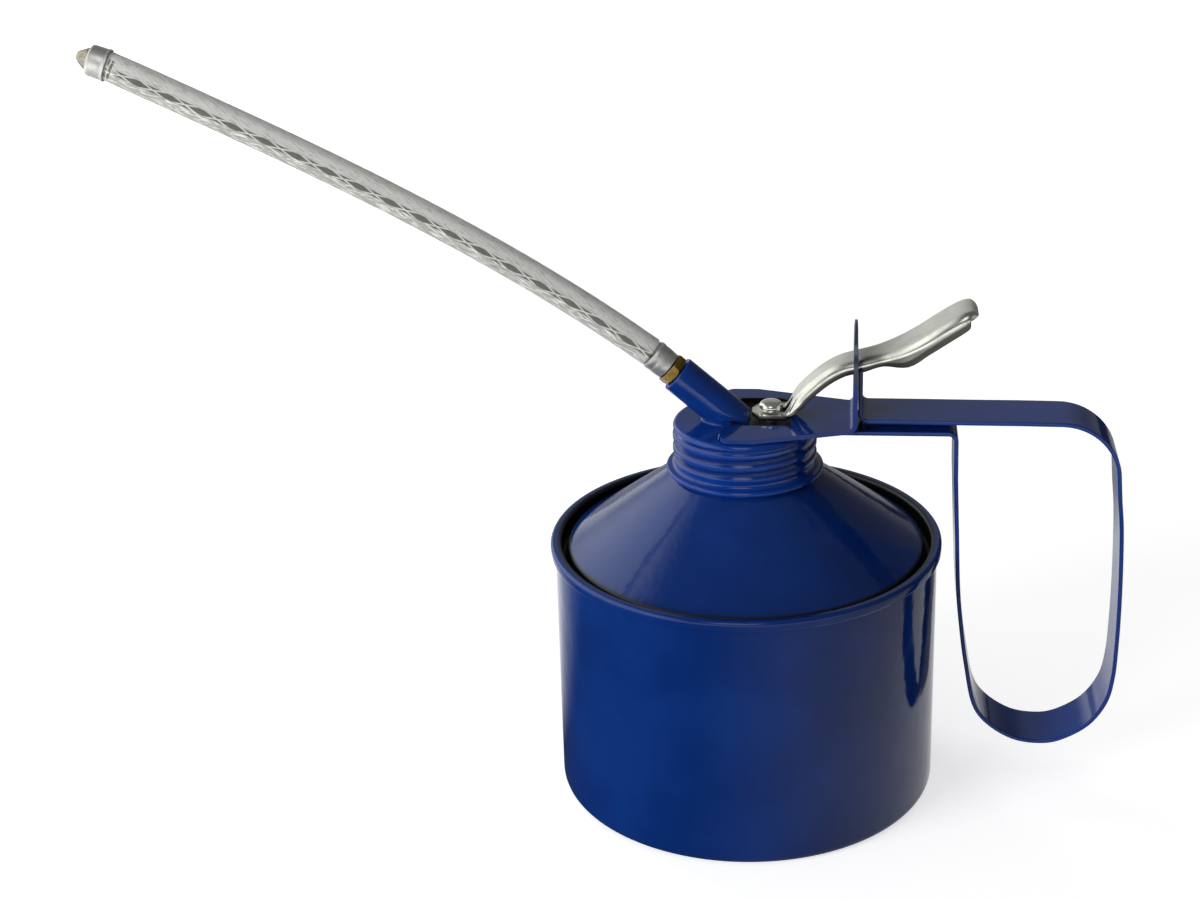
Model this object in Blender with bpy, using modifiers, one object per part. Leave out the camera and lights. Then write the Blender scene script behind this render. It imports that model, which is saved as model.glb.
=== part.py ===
"""Pump oil can: a drawn steel can with a screw-on pump head, thumb lever, strap handle and flexible spout.

Every size is in millimetres and is turned into metres by MM where a mesh is made.
The origin is the centre of the can's flat base. +Z is up, the handle is at +X, the spout at -X.
"""
import math

import bmesh
import bpy
from mathutils import Matrix, Vector

MM = 0.001

# Driving dimensions, in millimetres
GAP = 0.3                 # space left between touching pieces
CAN_RADIUS = 50.0
CAN_WALL = 0.5
WALL_TOP = 69.1           # upper edge of the can's wall, inside the seam
BASE_THICKNESS = 0.7
BASE_CORNER = 2.5         # rounding of the drawn base
SEAM_RADIUS = 51.15       # outside of the rolled seam
SEAM_TOP = 70.0
SEAM_BOTTOM = 67.1
TROUGH_FLOOR = 64.5       # dark groove between the seam and the cone
CONE_FOOT = (46.0, 68.8)  # radius and height where the straight cone starts
CONE_TOP = (19.5, 88.3)
CONE_SHEET = 0.6
NECK_BORE = 15.9
NECK_TOP = 99.3

THREAD_PITCH = 3.3
THREAD_DEPTH = 0.5
CAP_THREAD = 18.3         # mean radius of the rolled thread outside the cap
CAP_SHEET = 0.5
THREAD_PLAY = 0.35        # radial room between the cap's thread and the neck's
CAP_TOP = 102.45
CAP_LID = 0.6
BEAD_RADIUS = 20.3        # curled lower edge of the cap
BEAD_BOTTOM = 89.1

PLATE_SHEET = 1.2
PLATE_BOTTOM = CAP_TOP + GAP
PLATE_TOP = PLATE_BOTTOM + PLATE_SHEET
PLATE_LEFT = -5.5
PLATE_HALF_WIDE = 17.5    # half width over the cap
UPRIGHT_FACE = 28.85      # the upright's face that the handle is welded to
UPRIGHT_HALF_WIDE = 10.0
UPRIGHT_TIP = 129.3
SLOT_HALF_WIDE = 5.65
SLOT_SILL = 116.6
SLOT_HEAD = 122.0
SHEET_BEND = 2.5          # outer radius of the plate's bend
OPENING_X = (-3.0, 14.0)  # opening in the plate under the lever's tongue
OPENING_Y = (-7.7, 11.0)
OPENING_CORNER = 4.0

STRIP_WIDE = 15.5
STRIP_SHEET = 1.1
STRIP_TOP_END = 118.15

LEVER_SHEET = 0.9
TONGUE_TOP = PLATE_TOP + GAP + LEVER_SHEET
SHOULDER_ROUND = 2.2      # rounding between the lever's crown and its flanges

PUMP_X = 6.8              # axis of the pump, towards the lever
ROD_RADIUS = 1.5
ROD_HEAD_RADIUS = 3.1
ROD_HEAD_BASE = TONGUE_TOP + GAP
ROD_HEAD_TALL = 2.4
GUIDE_BORE = 1.6          # running fit for the rod
BARREL_RADIUS = 5.4
BARREL_BORE = 4.8
BARREL_TOP = 94.2
BARREL_BOTTOM = 46.0
CHAMBER_RADIUS = 12.8
CHAMBER_FLOOR = 94.5
PISTON_BOTTOM = 54.0
PISTON_TOP = 62.0
PISTON_RADIUS = 4.45
BALL_RADIUS = 1.8
SEAT_RADIUS = 1.3
SPRING_STOP_UNDERSIDE = 90.5
SPRING_WIRE = 0.9
SPRING_MEAN = 3.3
SPRING_TURNS = 9
SPRING_POINTS = 9         # points in each turn
GASKET_RADIUS = 17.0
GASKET_BORE = 13.2
GLAND_LONG = 4.4
GLAND_RECESS = 2.2        # depth of the packing's recess
FOOT_SEAT = 46.5          # seat of the foot valve's ball
FOOT_TOP = 52.4
FOOT_RIM_BOTTOM = 43.2
SPIGOT_BOTTOM = 38.0
FOOT_PIN_HEIGHT = 51.3
FOOT_PIN_RADIUS = 0.45
PISTON_SEAT = 55.6        # seat of the delivery ball in the piston
TUBE_RADIUS = 3.9
TUBE_BORE = 3.3
TUBE_BOTTOM = 7.0
TUBE_TOP = FOOT_RIM_BOTTOM - GAP
STRAINER_BOTTOM = 3.6
STRAINER_TOP = 13.0
LEVER_PIVOT = (28.9, 117.2)    # where the lever rocks in the upright's slot

SPOUT_SLOPE = math.radians(41.0)
SPOUT_ROOT = (-2.83, 102.5)    # where the spout's axis meets the top of the cap
SOCKET_RADIUS = 4.9
SOCKET_BORE = 2.9
SOCKET_END_X = 1.3        # the socket's foot is cut off upright here, clear of the lever
SOCKET_LONG = 19.0
HEX_RADIUS = 4.35         # over the corners
HEX_LONG = 2.4
BARB_RADIUS = 1.4
OIL_WAY = 0.7             # bore through the brass
NOZZLE_WAY = 0.6
LOWER_FERRULE_LONG = 5.3
HOSE_RADIUS = 3.8
HOSE_GRIPPED = 3.1        # squeezed in the lower ferrule
HOSE_BORE = 1.7
HOSE_FREE_LONG = 154.0    # hose between the two ferrules
HOSE_TIP_SLOPE = 25.3     # degrees above level at its tip
HOSE_DROOP = 11.8         # degrees steeper where it leaves the lower ferrule
UPPER_SLOPE = math.radians(20.0)
UPPER_FERRULE_LONG = 5.0
UPPER_FERRULE_RADIUS = 4.2
NOZZLE_LONG = 8.1         # from the ferrule's back to the nozzle's tip

ROUND = 48                # sides of the can
CAP_ROUND = 40
SMALL = 20                # sides of the small turned pieces

# Start from an empty file
for old in list(bpy.data.objects):
    bpy.data.objects.remove(old)

PARTS = bpy.data.collections.new("pump_oil_can")
CUTTERS = bpy.data.collections.new("cutters")
bpy.context.scene.collection.children.link(PARTS)
bpy.context.scene.collection.children.link(CUTTERS)


# Materials

def finish(name, colour, roughness, metallic):
    """A Principled material with the piece's own colour."""
    material = bpy.data.materials.new(name)
    material.use_nodes = True
    shader = material.node_tree.nodes["Principled BSDF"]
    shader.inputs["Base Color"].default_value = (*colour, 1.0)
    shader.inputs["Roughness"].default_value = roughness
    shader.inputs["Metallic"].default_value = metallic
    material.diffuse_color = (*colour, 1.0)
    return material


BLUE = ((0.012, 0.035, 0.19), 0.22, 0.0)
CHROME = ((0.78, 0.78, 0.77), 0.18, 1.0)
STEEL = ((0.55, 0.55, 0.54), 0.35, 1.0)
BRASS = ((0.55, 0.36, 0.10), 0.38, 1.0)
ALUMINIUM = ((0.66, 0.68, 0.68), 0.38, 1.0)
CLEAR = ((0.80, 0.82, 0.80), 0.30, 0.0)
RUBBER = ((0.03, 0.03, 0.03), 0.75, 0.0)
LEATHER = ((0.30, 0.17, 0.08), 0.80, 0.0)
NOZZLE_GREY = ((0.50, 0.46, 0.38), 0.50, 0.6)


# Making and placing pieces

def place(name, mesh, look, collection=PARTS):
    """Puts a mesh in the scene as one named object with its own material."""
    piece = bpy.data.objects.new(name, mesh)
    collection.objects.link(piece)
    if look is not None:
        mesh.materials.clear()
        mesh.materials.append(finish(name, *look))
        mesh.shade_smooth()
        mesh.set_sharp_from_angle(angle=math.radians(32.0))
    return piece


def turned(name, profile, look, sides=SMALL, frame=None, solid=False):
    """Turns a profile of (radius, height) pairs about Z with a Screw modifier.

    The profile runs down its outer side. A solid one starts and ends on the axis,
    any other is a closed loop round a bore.
    """
    mesh = bpy.data.meshes.new(name)
    points = [(radius * MM, 0.0, height * MM) for radius, height in profile]
    edges = [(i, i + 1) for i in range(len(points) - 1)]
    if not solid:
        edges.append((len(points) - 1, 0))
    mesh.from_pydata(points, edges, [])
    piece = place(name, mesh, None)
    screw = piece.modifiers.new("turn", "SCREW")
    screw.steps = sides
    screw.render_steps = sides
    screw.use_merge_vertices = True
    screw.merge_threshold = 0.00001
    baked = bake(piece, name, look)
    if frame is not None:
        baked.matrix_world = frame
    return baked


def bake(piece, name, look):
    """Replaces an object by the closed mesh that its modifiers or its curve make."""
    bpy.context.view_layer.update()
    depsgraph = bpy.context.evaluated_depsgraph_get()
    mesh = bpy.data.meshes.new_from_object(piece.evaluated_get(depsgraph))
    matrix = piece.matrix_world.copy()
    bpy.data.objects.remove(piece)
    form = bmesh.new()
    form.from_mesh(mesh)
    bmesh.ops.remove_doubles(form, verts=form.verts, dist=0.000002)
    bmesh.ops.dissolve_degenerate(form, dist=0.000001, edges=form.edges)
    form.to_mesh(mesh)
    form.free()
    mesh.name = name
    baked = place(name, mesh, look, PARTS if look is not None else CUTTERS)
    baked.matrix_world = matrix
    return baked


def outline_prism(name, points, low, high, axis="Z"):
    """A flat outline extruded between two heights along X, Y or Z, as a cutter."""
    curve = bpy.data.curves.new(name, "CURVE")
    curve.dimensions = "2D"
    curve.fill_mode = "BOTH"
    curve.extrude = 0.5 * (high - low) * MM
    spline = curve.splines.new("POLY")
    spline.points.add(len(points) - 1)
    for spot, (across, up) in zip(spline.points, points):
        spot.co = (across * MM, up * MM, 0.0, 1.0)
    spline.use_cyclic_u = True
    prism = bpy.data.objects.new(name, curve)
    CUTTERS.objects.link(prism)
    middle = 0.5 * (high + low) * MM
    if axis == "Z":
        prism.location = (0.0, 0.0, middle)
    elif axis == "X":
        prism.matrix_world = Matrix(((0, 0, 1, middle), (1, 0, 0, 0), (0, 1, 0, 0), (0, 0, 0, 1)))
    else:
        prism.matrix_world = Matrix(((1, 0, 0, 0), (0, 0, -1, middle), (0, 1, 0, 0), (0, 0, 0, 1)))
    return hide_cutter(bake(prism, name, None))


def rod_cutter(name, radius, low, high, frame, sides=SMALL):
    """A round cutter along the Z axis of a frame."""
    mesh = bpy.data.meshes.new(name)
    form = bmesh.new()
    length = (high - low) * MM
    half_side = Matrix.Rotation(math.pi / sides, 4, "Z")
    centre = Matrix.Translation((0.0, 0.0, 0.5 * (high + low) * MM)) @ half_side
    bmesh.ops.create_cone(form, cap_ends=True, segments=sides, radius1=radius * MM,
                          radius2=radius * MM, depth=length, matrix=centre)
    form.to_mesh(mesh)
    form.free()
    cutter = place(name, mesh, None, CUTTERS)
    cutter.matrix_world = frame
    return hide_cutter(cutter)


def block_cutter(name, low, high):
    """A box cutter between two corners."""
    mesh = bpy.data.meshes.new(name)
    form = bmesh.new()
    size = [(b - a) * MM for a, b in zip(low, high)]
    middle = [0.5 * (a + b) * MM for a, b in zip(low, high)]
    matrix = Matrix.Translation(middle) @ Matrix.Diagonal((*size, 1.0))
    bmesh.ops.create_cube(form, size=1.0, matrix=matrix)
    form.to_mesh(mesh)
    form.free()
    return hide_cutter(place(name, mesh, None, CUTTERS))


def hide_cutter(cutter):
    """Keeps a cutter out of the model."""
    cutter.hide_render = True
    cutter.display_type = "WIRE"
    return cutter


def carve(piece, cutter, operation="DIFFERENCE"):
    """Cuts a piece, or keeps only what lies inside the cutter."""
    boolean = piece.modifiers.new(cutter.name, "BOOLEAN")
    boolean.operation = operation
    boolean.object = cutter


def arc(centre, radius, start, end, steps):
    """Points of an arc, in degrees, as (across, up) pairs."""
    points = []
    for step in range(steps + 1):
        angle = math.radians(start + (end - start) * step / steps)
        points.append((centre[0] + radius * math.cos(angle), centre[1] + radius * math.sin(angle)))
    return points


def smooth(knots, pieces):
    """A smooth curve through knots of any number of values (Catmull-Rom)."""
    ends = [knots[0], *knots, knots[-1]]
    points = []
    for index in range(1, len(ends) - 2):
        before, here, there, after = ends[index - 1:index + 3]
        for step in range(pieces):
            t = step / pieces
            points.append(tuple(
                0.5 * (2 * b + (c - a) * t + (2 * a - 5 * b + 4 * c - d) * t * t
                       + (3 * b - a - 3 * c + d) * t ** 3)
                for a, b, c, d in zip(before, here, there, after)))
    points.append(tuple(knots[-1]))
    return points


def along(origin, slope):
    """A frame at (x, z) in the plane y = 0, its Z axis rising to -X at a slope."""
    turn = Matrix.Rotation(-(math.pi / 2 - slope), 4, "Y")
    return Matrix.Translation((origin[0] * MM, 0.0, origin[1] * MM)) @ turn


def upright_frame(x):
    """A frame at a place on the X axis, with Z up."""
    return Matrix.Translation((x * MM, 0.0, 0.0))


# Walls with a rolled thread

def ring(radius, height):
    """A plain row of a turned wall: the same radius and height at every angle."""
    return lambda angle: (radius, height)


def thread_rows(mean, end_radius, low, high, upward, corners):
    """Rows of a rolled thread that climbs with the angle and fades out at both ends.

    A thread with four corners in each pitch has flat crests and roots, one with two has sharp ones.
    """
    rows = []
    first = math.floor((low - THREAD_PITCH) / THREAD_PITCH) * corners
    last = math.ceil(high / THREAD_PITCH + 1) * corners
    fade_length = 0.45 * THREAD_PITCH
    crest_rows = (1, 2) if corners == 4 else (1,)
    shift = 0.0 if corners == 4 else -THREAD_PITCH / 8

    def row(number):
        side = 1.0 if number % corners in crest_rows else -1.0
        start = number * THREAD_PITCH / corners + shift

        def spot(angle):
            height = min(max(start + THREAD_PITCH * angle / math.tau, low), high)
            fade = min(1.0, (height - low) / fade_length, (high - height) / fade_length)
            thread = mean + side * 0.5 * THREAD_DEPTH
            return end_radius + (thread - end_radius) * fade, height
        return spot

    for number in range(first, last + 1):
        rows.append(row(number))
    return rows if upward else rows[::-1]


def rolled_wall(name, rows, look, sides):
    """A wall made of rows from inside the sheet's start to its end, closed into one body."""
    form = bmesh.new()
    columns = []
    for step in range(sides + 1):
        angle = math.tau * step / sides
        column = []
        for row in rows:
            radius, height = row(angle)
            spot = (radius * math.cos(angle) * MM, radius * math.sin(angle) * MM, height * MM)
            column.append(form.verts.new(spot))
        columns.append(column)
    for left, right in zip(columns, columns[1:]):
        for index in range(len(rows)):
            after = (index + 1) % len(rows)
            form.faces.new((left[index], left[after], right[after], right[index]))
    bmesh.ops.remove_doubles(form, verts=form.verts, dist=0.000002)
    bmesh.ops.dissolve_degenerate(form, dist=0.000001, edges=form.edges)
    loose = [edge for edge in form.edges if not edge.link_faces]
    bmesh.ops.delete(form, geom=loose, context="EDGES")
    bmesh.ops.recalc_face_normals(form, faces=form.faces)
    mesh = bpy.data.meshes.new(name)
    form.to_mesh(mesh)
    form.free()
    return place(name, mesh, look)


# The can

def make_can_body():
    inner = CAN_RADIUS - CAN_WALL
    corner = (CAN_RADIUS - BASE_CORNER, BASE_CORNER)
    profile = [(0.0, BASE_THICKNESS), (inner - 2.0, BASE_THICKNESS)]
    profile += [(inner - 0.55, BASE_THICKNESS + 0.55), (inner, BASE_THICKNESS + 2.0)]
    profile += [(inner, WALL_TOP), (CAN_RADIUS, WALL_TOP)]
    profile += arc(corner, BASE_CORNER, 0.0, -90.0, 4)
    profile += [(0.0, 0.0)]
    turned("can_body", profile, BLUE, sides=ROUND, solid=True)


def make_shoulder_cone():
    """Rolled seam, trough, straight cone and threaded neck, drawn from one sheet."""
    hook_inner = CAN_RADIUS + GAP
    chuck_outer = CAN_RADIUS - CAN_WALL - GAP
    chuck_inner = chuck_outer - 0.4
    seam = [ring(SEAM_RADIUS - 0.3, SEAM_BOTTOM), ring(SEAM_RADIUS, SEAM_BOTTOM + 0.5)]
    seam += [ring(SEAM_RADIUS, SEAM_TOP - 1.0), ring(SEAM_RADIUS - 0.3, SEAM_TOP - 0.35)]
    seam += [ring(SEAM_RADIUS - 1.0, SEAM_TOP), ring(chuck_inner + 0.5, SEAM_TOP)]
    seam += [ring(chuck_inner - 0.2, SEAM_TOP - 0.35), ring(chuck_inner - 0.5, SEAM_TOP - 1.0)]
    seam += [ring(chuck_inner - 0.5, SEAM_TOP - 2.1), ring(chuck_inner, SEAM_TOP - 3.0)]
    trough = [ring(chuck_inner, TROUGH_FLOOR + 0.9), ring(48.3, TROUGH_FLOOR + 0.2)]
    trough += [ring(47.7, TROUGH_FLOOR), ring(47.1, TROUGH_FLOOR + 0.1), ring(46.7, TROUGH_FLOOR + 0.6)]
    edge = [ring(46.6, 67.5), ring(46.45, 68.3), ring(*CONE_FOOT)]
    neck_mean = CAP_THREAD - CAP_SHEET - THREAD_PLAY
    neck_root = neck_mean - 0.5 * THREAD_DEPTH
    neck = [ring(*CONE_TOP), ring(18.4, 89.3), ring(17.7, 90.5)]
    neck += thread_rows(neck_mean, neck_root, 91.2, NECK_TOP - 0.4, True, 2)
    neck += [ring(neck_root - 0.2, NECK_TOP), ring(NECK_BORE + 0.3, NECK_TOP)]
    neck += [ring(NECK_BORE, NECK_TOP - 0.3), ring(NECK_BORE, 91.0)]
    across = CONE_FOOT[0] - CONE_TOP[0]
    rise = CONE_TOP[1] - CONE_FOOT[1]
    slant = math.hypot(across, rise)
    shift = (CONE_SHEET * rise / slant, CONE_SHEET * across / slant)
    under = [ring(CONE_TOP[0] - shift[0], CONE_TOP[1] - shift[1])]
    under += [ring(CONE_FOOT[0] - shift[0], CONE_FOOT[1] - shift[1])]
    under += [ring(45.95, 67.5), ring(46.05, TROUGH_FLOOR + 0.5), ring(46.6, TROUGH_FLOOR - 0.3)]
    under += [ring(47.7, TROUGH_FLOOR - 0.6), ring(48.7, TROUGH_FLOOR - 0.3)]
    hook = [ring(chuck_outer, TROUGH_FLOOR + 0.6), ring(chuck_outer, WALL_TOP + GAP)]
    hook += [ring(hook_inner, WALL_TOP + GAP), ring(hook_inner, SEAM_BOTTOM)]
    rolled_wall("shoulder_cone", seam + trough + edge + neck + under + hook, BLUE, ROUND)


# The cap and what is welded to it

def spout_passage(name):
    """The oil passage from the chamber under the cap up into the spout."""
    return rod_cutter(name, SOCKET_BORE, -9.0, 6.0, along(SPOUT_ROOT, SPOUT_SLOPE))


def make_screw_cap():
    """Drawn cap with a rolled thread and an outward curled lower edge."""
    crest = CAP_THREAD + 0.5 * THREAD_DEPTH
    inner_mean = CAP_THREAD - CAP_SHEET
    inner_crest = inner_mean + 0.5 * THREAD_DEPTH
    rows = [ring(0.0, CAP_TOP), ring(crest - 1.15, CAP_TOP), ring(crest - 0.45, CAP_TOP - 0.3)]
    rows += [ring(crest - 0.1, CAP_TOP - 0.9)]
    rows += thread_rows(CAP_THREAD, crest - 0.05, 91.5, CAP_TOP - 1.25, False, 4)
    rows += [ring(crest + 0.05, 90.9), ring(19.3, 90.65), ring(BEAD_RADIUS - 0.25, 90.4)]
    rows += [ring(BEAD_RADIUS, 89.95), ring(BEAD_RADIUS - 0.1, BEAD_BOTTOM + 0.3)]
    rows += [ring(BEAD_RADIUS - 0.5, BEAD_BOTTOM), ring(19.3, 89.3), ring(19.1, 89.95), ring(18.3, 90.4)]
    rows += thread_rows(inner_mean, inner_crest, 91.1, 100.8, True, 2)
    rows += [ring(inner_crest - 0.1, 101.3), ring(inner_crest - 0.7, CAP_TOP - CAP_LID)]
    rows += [ring(0.0, CAP_TOP - CAP_LID)]
    cap = rolled_wall("screw_cap", rows, BLUE, CAP_ROUND)
    carve(cap, rod_cutter("cap_rod_hole", ROD_RADIUS + 0.5, 99.0, 105.0, upright_frame(PUMP_X)))
    carve(cap, spout_passage("cap_passage"))


def make_cap_gasket():
    top = CAP_TOP - CAP_LID - GAP
    bottom = NECK_TOP + GAP
    profile = [(GASKET_RADIUS, top), (GASKET_RADIUS, bottom)]
    profile += [(GASKET_BORE, bottom), (GASKET_BORE, top)]
    turned("cap_gasket", profile, RUBBER, sides=CAP_ROUND)


def make_bracket_plate():
    """Plate over the cap, bent up into the slotted upright that carries the lever."""
    inner_face = UPRIGHT_FACE - PLATE_SHEET
    bend_centre = (UPRIGHT_FACE - SHEET_BEND, PLATE_BOTTOM + SHEET_BEND)
    section = [(PLATE_LEFT - 1.0, PLATE_BOTTOM)]
    section += arc(bend_centre, SHEET_BEND, -90.0, 0.0, 5)
    section += [(UPRIGHT_FACE, UPRIGHT_TIP + 1.0), (inner_face, UPRIGHT_TIP + 1.0)]
    section += arc(bend_centre, SHEET_BEND - PLATE_SHEET, 0.0, -90.0, 5)
    section += [(PLATE_LEFT - 1.0, PLATE_TOP)]
    half = PLATE_HALF_WIDE + 1.0
    blank = outline_prism("bracket_blank", section, -half, half, axis="Y")
    blank.name = "bracket_plate"
    blank.hide_render = False
    blank.display_type = "TEXTURED"
    CUTTERS.objects.unlink(blank)
    PARTS.objects.link(blank)
    blank.data.materials.append(finish("bracket_plate", *BLUE))
    corner = 2.5
    far = UPRIGHT_FACE + 2.0
    plan = arc((PLATE_LEFT + corner, PLATE_HALF_WIDE - corner), corner, 90.0, 180.0, 4)
    plan += [(across, -up) for across, up in plan[::-1]]
    plan += [(3.0, -PLATE_HALF_WIDE), (27.6, -UPRIGHT_HALF_WIDE - 0.1), (far, -UPRIGHT_HALF_WIDE - 0.1)]
    plan += [(far, UPRIGHT_HALF_WIDE + 0.1), (27.6, UPRIGHT_HALF_WIDE + 0.1), (3.0, PLATE_HALF_WIDE)]
    carve(blank, outline_prism("bracket_plan", plan, 90.0, 140.0), "INTERSECT")
    round_centre = (0.0, UPRIGHT_TIP - UPRIGHT_HALF_WIDE)
    front = [(-half, 100.0), (half, 100.0), (half, 108.0), (UPRIGHT_HALF_WIDE, 108.0)]
    front += arc(round_centre, UPRIGHT_HALF_WIDE, 0.0, 180.0, 16)
    front += [(-UPRIGHT_HALF_WIDE, 108.0), (-half, 108.0)]
    carve(blank, outline_prism("bracket_front", front, -10.0, 35.0, axis="X"), "INTERSECT")
    carve(blank, block_cutter("lever_slot", (inner_face - 2.0, -SLOT_HALF_WIDE, SLOT_SILL),
                              (UPRIGHT_FACE + 2.0, SLOT_HALF_WIDE, SLOT_HEAD)))
    left, right = OPENING_X[0] + OPENING_CORNER, OPENING_X[1] - OPENING_CORNER
    near, far_side = OPENING_Y[0] + OPENING_CORNER, OPENING_Y[1] - OPENING_CORNER
    opening = arc((right, near), OPENING_CORNER, -90.0, 0.0, 4)
    opening += arc((right, far_side), OPENING_CORNER, 0.0, 90.0, 4)
    opening += arc((left, far_side), OPENING_CORNER, 90.0, 180.0, 4)
    opening += arc((left, near), OPENING_CORNER, 180.0, 270.0, 4)
    carve(blank, outline_prism("pump_opening", opening, 99.0, 108.0))
    notch = rod_cutter("spout_notch", SOCKET_RADIUS + GAP, -14.0, 14.0, along(SPOUT_ROOT, SPOUT_SLOPE), 28)
    carve(notch, block_cutter("notch_end", (SOCKET_END_X + GAP, -20.0, 80.0), (40.0, 20.0, 130.0)))
    carve(blank, notch)


def make_handle_strip():
    """One long strip: welded upright, top run, round loop and the run back under the plate."""
    half = 0.5 * STRIP_SHEET
    start_x = UPRIGHT_FACE + GAP + half
    run = 105.1
    back = PLATE_BOTTOM - GAP - half
    bend = 2.15
    route = [(start_x, STRIP_TOP_END), (start_x, 111.0)]
    route += arc((start_x + bend, run + bend), bend, 180.0, 270.0, 4)
    route += [(58.0, run - 0.15)]
    route += arc((79.6, 89.7), 15.1, 88.0, 8.0, 7)
    loop = [(95.2, 84.0), (96.0, 76.0), (96.5, 64.0), (96.7, 52.0), (96.6, 42.0), (96.2, 33.5)]
    loop += [(94.7, 26.2), (90.4, 19.5), (83.7, 15.1), (78.0, 13.9), (71.0, 15.0), (64.2, 19.4)]
    loop += [(60.4, 25.2), (58.2, 36.0), (56.8, 45.3), (55.4, 58.4), (54.55, 75.6), (53.9, 89.5)]
    route += smooth(loop, 2)
    route += arc((51.7, back - 2.0), 2.0, 0.0, 90.0, 4)
    route += [(36.0, back), (CAP_THREAD + 0.9, back)]
    form = bmesh.new()
    edge = STRIP_WIDE / 2 * MM
    front = [form.verts.new((x * MM, -edge, z * MM)) for x, z in route]
    far = [form.verts.new((x * MM, edge, z * MM)) for x, z in route]
    for index in range(len(route) - 1):
        form.faces.new((front[index], far[index], far[index + 1], front[index + 1]))
    mesh = bpy.data.meshes.new("handle_strip")
    form.to_mesh(mesh)
    form.free()
    strip = place("handle_strip", mesh, BLUE)
    sheet = strip.modifiers.new("sheet", "SOLIDIFY")
    sheet.thickness = STRIP_SHEET * MM
    sheet.offset = 0.0
    sheet.use_even_offset = True
    carve(strip, block_cutter("strip_notch", (UPRIGHT_FACE - 1.0, -SLOT_HALF_WIDE, SLOT_SILL),
                              (UPRIGHT_FACE + 4.0, SLOT_HALF_WIDE, STRIP_TOP_END + 2.0)))


def make_spout_socket():
    """Tube brazed to the cap in a notch of the plate, cut off level and upright at its foot."""
    profile = [(SOCKET_RADIUS, SOCKET_LONG), (SOCKET_RADIUS, -14.0)]
    profile += [(SOCKET_BORE, -14.0), (SOCKET_BORE, SOCKET_LONG)]
    socket = turned("spout_socket", profile, BLUE, sides=28, frame=along(SPOUT_ROOT, SPOUT_SLOPE))
    carve(socket, block_cutter("socket_level", (-60.0, -20.0, 60.0), (60.0, 20.0, CAP_TOP + GAP)))
    carve(socket, block_cutter("socket_end", (SOCKET_END_X, -20.0, 60.0), (60.0, 20.0, 140.0)))


# The spout

def spout_point(distance):
    """(x, z) at a distance along the socket's axis from the cap."""
    back = distance * math.cos(SPOUT_SLOPE)
    rise = distance * math.sin(SPOUT_SLOPE)
    return SPOUT_ROOT[0] - back, SPOUT_ROOT[1] + rise


HEX_START = SOCKET_LONG + GAP
HOSE_START = HEX_START + HEX_LONG + GAP + 0.1
FERRULE_START = HEX_START + HEX_LONG + GAP
FERRULE_END = FERRULE_START + LOWER_FERRULE_LONG


def hose_route():
    """Centre line of the hose: straight in the lower ferrule, then drooping to its tip."""
    route = [spout_point(HOSE_START), spout_point(FERRULE_END), spout_point(FERRULE_END + 0.6)]
    here = spout_point(FERRULE_END)
    steps = 44
    for step in range(steps):
        along_hose = (step + 0.5) / steps
        slope = math.radians(HOSE_TIP_SLOPE + HOSE_DROOP * (1.0 - along_hose) ** 2)
        length = HOSE_FREE_LONG / steps
        here = (here[0] - length * math.cos(slope), here[1] + length * math.sin(slope))
        if step % 4 == 3:
            route.append(here)
    return route


def hose_tip(distance):
    """(x, z) on the nozzle's axis, at a distance past the end of the free hose."""
    end = hose_route()[-1]
    return (end[0] - distance * math.cos(UPPER_SLOPE), end[1] + distance * math.sin(UPPER_SLOPE))


def tube(name, route, radii, look, resolution):
    """A round tube along a route, with a radius at each point."""
    curve = bpy.data.curves.new(name, "CURVE")
    curve.dimensions = "3D"
    curve.bevel_depth = MM
    curve.bevel_resolution = resolution
    curve.use_fill_caps = True
    spline = curve.splines.new("POLY")
    spline.points.add(len(route) - 1)
    for spot, place_on, radius in zip(spline.points, route, radii):
        spot.co = (place_on[0] * MM, place_on[1] * MM, place_on[2] * MM, 1.0)
        spot.radius = radius
    piece = bpy.data.objects.new(name, curve)
    (PARTS if look is not None else CUTTERS).objects.link(piece)
    return bake(piece, name, look)


def make_spout_nipple():
    """Brass hexagon with a threaded shank in the socket and a barb in the hose."""
    frame = along(SPOUT_ROOT, SPOUT_SLOPE)
    shank = SOCKET_BORE - GAP
    barb_end = FERRULE_END + 0.8
    waist = BARB_RADIUS - 0.2
    profile = [(BARB_RADIUS - 0.35, barb_end), (BARB_RADIUS, barb_end - 1.2), (waist, barb_end - 1.3)]
    profile += [(BARB_RADIUS, barb_end - 2.6), (waist, barb_end - 2.7)]
    profile += [(waist, HEX_START + HEX_LONG), (4.9, HEX_START + HEX_LONG)]
    profile += [(4.9, HEX_START), (shank, HEX_START), (shank, HEX_START - 6.0)]
    profile += [(OIL_WAY, HEX_START - 6.0), (OIL_WAY, barb_end)]
    nipple = turned("spout_nipple", profile, BRASS, sides=24, frame=frame)
    corners = arc((0.0, 0.0), HEX_RADIUS, 0.0, 300.0, 5)
    gauge = outline_prism("hex_gauge", corners, HEX_START - 20.0, HEX_START + 20.0)
    gauge.matrix_world = frame @ gauge.matrix_world
    carve(nipple, gauge, "INTERSECT")


def make_lower_ferrule():
    frame = along(SPOUT_ROOT, SPOUT_SLOPE)
    bore = 3.4
    profile = [(bore, FERRULE_END), (3.75, FERRULE_END - 0.15), (3.95, FERRULE_END - 0.8)]
    profile += [(3.85, FERRULE_END - 1.8), (3.7, FERRULE_START), (bore, FERRULE_START)]
    turned("lower_ferrule", profile, ALUMINIUM, sides=24, frame=frame)


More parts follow.
